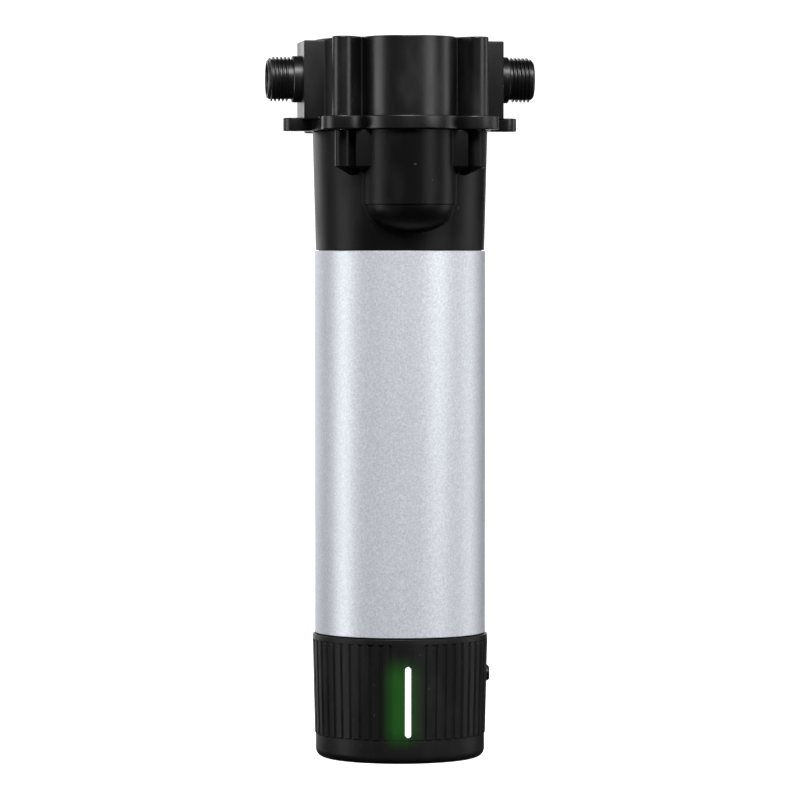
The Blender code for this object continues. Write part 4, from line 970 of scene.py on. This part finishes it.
def cap_reach(turns, height):
    if height < FOOT_HIGH:
        fall = max(0.0, FOOT_FILLET - height)
        radius = FOOT_RADIUS - FOOT_FILLET + math.sqrt(FOOT_FILLET ** 2 - fall ** 2)
        return np.full_like(turns, radius)
    crest = SLEEVE_RADIUS + 1.1 * MM * (height - FOOT_HIGH) / (RIB_HIGH - FOOT_HIGH)
    if height > RIB_HIGH:
        lip = edge_inset(height, RIB_HIGH - 2 * MM, CAP_TOP, 0.4 * MM)
        return np.full_like(turns, SLEEVE_RADIUS + 1.0 * MM - lip)
    pitch = math.tau / RIB_COUNT
    from_strip = (turns - STRIP_HEADING + math.pi) % math.tau - math.pi
    across = np.abs((from_strip / pitch + 0.5) % 1.0 - 0.5)
    rib = np.round(from_strip / pitch) * pitch
    nose = max(0.0, (height - (RIB_HIGH - RIB_NOSE)) / RIB_NOSE)
    half_front = RIB_HALF_FRONT * math.sqrt(max(0.0, 1.0 - nose ** 2))
    groove = np.clip((across - half_front) / GROOVE_SIDE, 0.0, 1.0)
    groove = groove * groove * (3.0 - 2.0 * groove)
    plain = (np.abs(rib) < PANEL_HALF_TURN) & (np.abs(from_strip) < PANEL_HALF_TURN - 0.3 * pitch)
    foot_run = min(1.0, (height - FOOT_HIGH) / FOOT_RUN)
    depth = np.where(plain, 0.0, RIB_DEPTH * groove)
    step = (crest - FOOT_RADIUS) * (1.0 - foot_run)
    return crest - np.maximum(depth, step)


print("grip ribs:", RIB_COUNT)


# %% Bar with round ends
def strip_bar(name, near, far, half_width, low, high, rim=0.0):
    """A bar with round ends that runs outwards through the wall; its outer rim is rounded."""
    bm = bmesh.new()
    rings = []
    steps = [(near, 0.0)]
    if rim:
        rim_turns = [math.pi / 6 * i for i in range(4)]
        steps += [(far - rim * (1 - math.sin(turn)), rim * (1 - math.cos(turn))) for turn in rim_turns]
    else:
        steps += [(far, 0.0)]
    for reach, inset in steps:
        ring = []
        for middle, start in ((high - half_width, 0.0), (low + half_width, math.pi)):
            for i in range(17):
                turn = start + math.pi * i / 16
                ring.append(bm.verts.new((reach, (half_width - inset) * math.cos(turn),
                                          middle + (half_width - inset) * math.sin(turn))))
        rings.append(ring)
    bm.faces.new(rings[0])
    bm.faces.new(list(reversed(rings[-1])))
    for inner, outer in zip(rings, rings[1:]):
        for i in range(len(inner)):
            j = (i + 1) % len(inner)
            bm.faces.new((inner[i], inner[j], outer[j], outer[i]))
    obj = add_mesh(name, bm)
    obj.data.transform(Matrix.Rotation(STRIP_HEADING, 4, "Z"))
    return obj


print("strip from", round(STRIP_LOW / MM, 1), "to", round(STRIP_HIGH / MM, 1), "mm")

# %% Cuts inside the cap
CAP_BORE = SKIRT_RADIUS + 0.35 * MM
CAP_SHELF = CAP_TOP - 29.5 * MM
LEDGE_HIGH = 5.7 * MM
COVER_SEAT = 30.3 * MM
COVER_DEPTH = 2.8 * MM
LAMP_WAY = 27 * MM
LEDGE_RADIUS = 32 * MM
SHELF_DEPTH = 3.35 * MM
MOUTH_LOW = CAP_TOP - 1.6 * MM
THREAD_LOW = CAP_TOP - 11.4 * MM
THREAD_RUN = 12 * MM
THREAD_LEAD = -0.9 * MM
CABLE_HOLE = 3.7 * MM
CABLE_HIGH = CAP_TOP - 19.4 * MM
SCREW_CIRCLE = 28.55 * MM
COVER_SCREW = 1.3 * MM
SLOT_GAP = 0.3 * MM


def cap_inside():
    bore, mouth = CAP_BORE, CAP_BORE + 1.5 * MM
    edge, shelf_edge = CAP_BORE + 1.8 * MM, CAP_BORE - SHELF_DEPTH
    return turned("cap_inside", [(0.0, -MM), (COVER_SEAT, -MM), (COVER_SEAT, COVER_DEPTH),
                                 (LAMP_WAY, COVER_DEPTH), (LAMP_WAY, LEDGE_HIGH - MM),
                                 (LEDGE_RADIUS, LEDGE_HIGH - MM), (LEDGE_RADIUS, LEDGE_HIGH),
                                 (bore, LEDGE_HIGH), (bore, CAP_SHELF), (shelf_edge, CAP_SHELF),
                                 (shelf_edge, CAP_SHELF + 2.5 * MM), (bore, CAP_SHELF + 2.5 * MM),
                                 (bore, MOUTH_LOW), (mouth, MOUTH_LOW), (mouth, CAP_TOP - 0.3 * MM),
                                 (edge, CAP_TOP), (edge, CAP_TOP + MM), (0.0, CAP_TOP + MM)], 144)


def cap_cuts():
    groove = helix_ridge("cap_thread", CAP_BORE, SKIRT_RADIUS + 1.65 * MM, CAP_PITCH, THREAD_LOW,
                         THREAD_LOW + THREAD_RUN, 1.19 * MM, 0.77 * MM, 180, THREAD_LEAD)
    slot = strip_bar("strip_slot", CAP_BORE - 2 * MM, SLEEVE_RADIUS + 4 * MM,
                     STRIP_WIDTH / 2 + SLOT_GAP, STRIP_LOW - SLOT_GAP, STRIP_HIGH + SLOT_GAP)
    cable = plug("inlet_hole", CABLE_HOLE, 0.0, 10 * MM, 40,
                 lay=((CAP_BORE - 2 * MM, 0.0, CABLE_HIGH), (1.0, 0.0, 0.0)))
    cuts = [cap_inside(), groove, slot, cable]
    for index in range(3):
        turn = math.tau * index / 3 + math.pi / 6
        spot = (SCREW_CIRCLE * math.cos(turn), SCREW_CIRCLE * math.sin(turn))
        cuts.append(plug("cover_screw_hole", COVER_SCREW, 2 * MM, LEDGE_HIGH - 0.9 * MM, 20, spot))
    return cuts


print("cap bore:", round(CAP_BORE * 2 / MM, 1), "mm")


# %% Build the cap
def make_cap():
    fillet = [FOOT_FILLET * (1 - math.cos(math.pi / 2 * i / 8)) for i in range(9)]
    nose = [RIB_HIGH - RIB_NOSE * (1 - math.sin(math.pi / 2 * i / 8)) for i in range(9)]
    foot = [FOOT_HIGH - 0.02 * MM, FOOT_HIGH, FOOT_HIGH + FOOT_RUN / 2, FOOT_HIGH + FOOT_RUN]
    rows = sorted_rows(fillet, foot, nose, [RIB_HIGH + 0.02 * MM],
                       rim_rows(RIB_HIGH, CAP_TOP, 0.4 * MM)[4:])
    cap = skin("cap_moulding", cap_reach, rows, 2000)
    carve(cap, "DIFFERENCE", *cap_cuts())
    # The cap wears the finish that has the painted green glow beside the strip.
    stand_for(cap, "end_cap", "lamp_cap", PAINTED_GLOW_CAP)


make_cap()

# %% [markdown]
# ## Sleeve and light strip
# The sleeve is a plain tube, but its ends are cut and lightly chamfered, and that bright hairline
# is what tells the eye that it is metal. The light guide is one bar with round ends and a
# rounded face.

# %% Build the sleeve and the strip
SLEEVE_WALL = 1.5 * MM
END_CHAMFER = 0.25 * MM


def make_sleeve():
    low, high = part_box("outer_sleeve")[0].z, SLEEVE_TOP
    inner, outer, cut = SLEEVE_RADIUS - SLEEVE_WALL, SLEEVE_RADIUS, END_CHAMFER
    profile = [(inner, low + cut), (inner + cut, low), (outer - cut, low), (outer, low + cut)]
    profile += [(outer, low + (high - low) * i / 12) for i in range(1, 12)]
    profile += [(outer, high - cut), (outer - cut, high), (inner + cut, high), (inner, high - cut)]
    sleeve = turned("sleeve_tube", profile, 288)
    stand_for(sleeve, "outer_sleeve", "housing", SILVER)


def make_strip():
    near, far = SKIRT_RADIUS + 0.6 * MM, SLEEVE_RADIUS - 0.1 * MM
    strip = strip_bar("strip_light_guide", near, far, STRIP_WIDTH / 2, STRIP_LOW, STRIP_HIGH,
                      0.35 * MM)
    stand_for(strip, "light_guide", "lamp_cap", LIT_STRIP)


make_sleeve()
make_strip()
print("visible pieces are made")
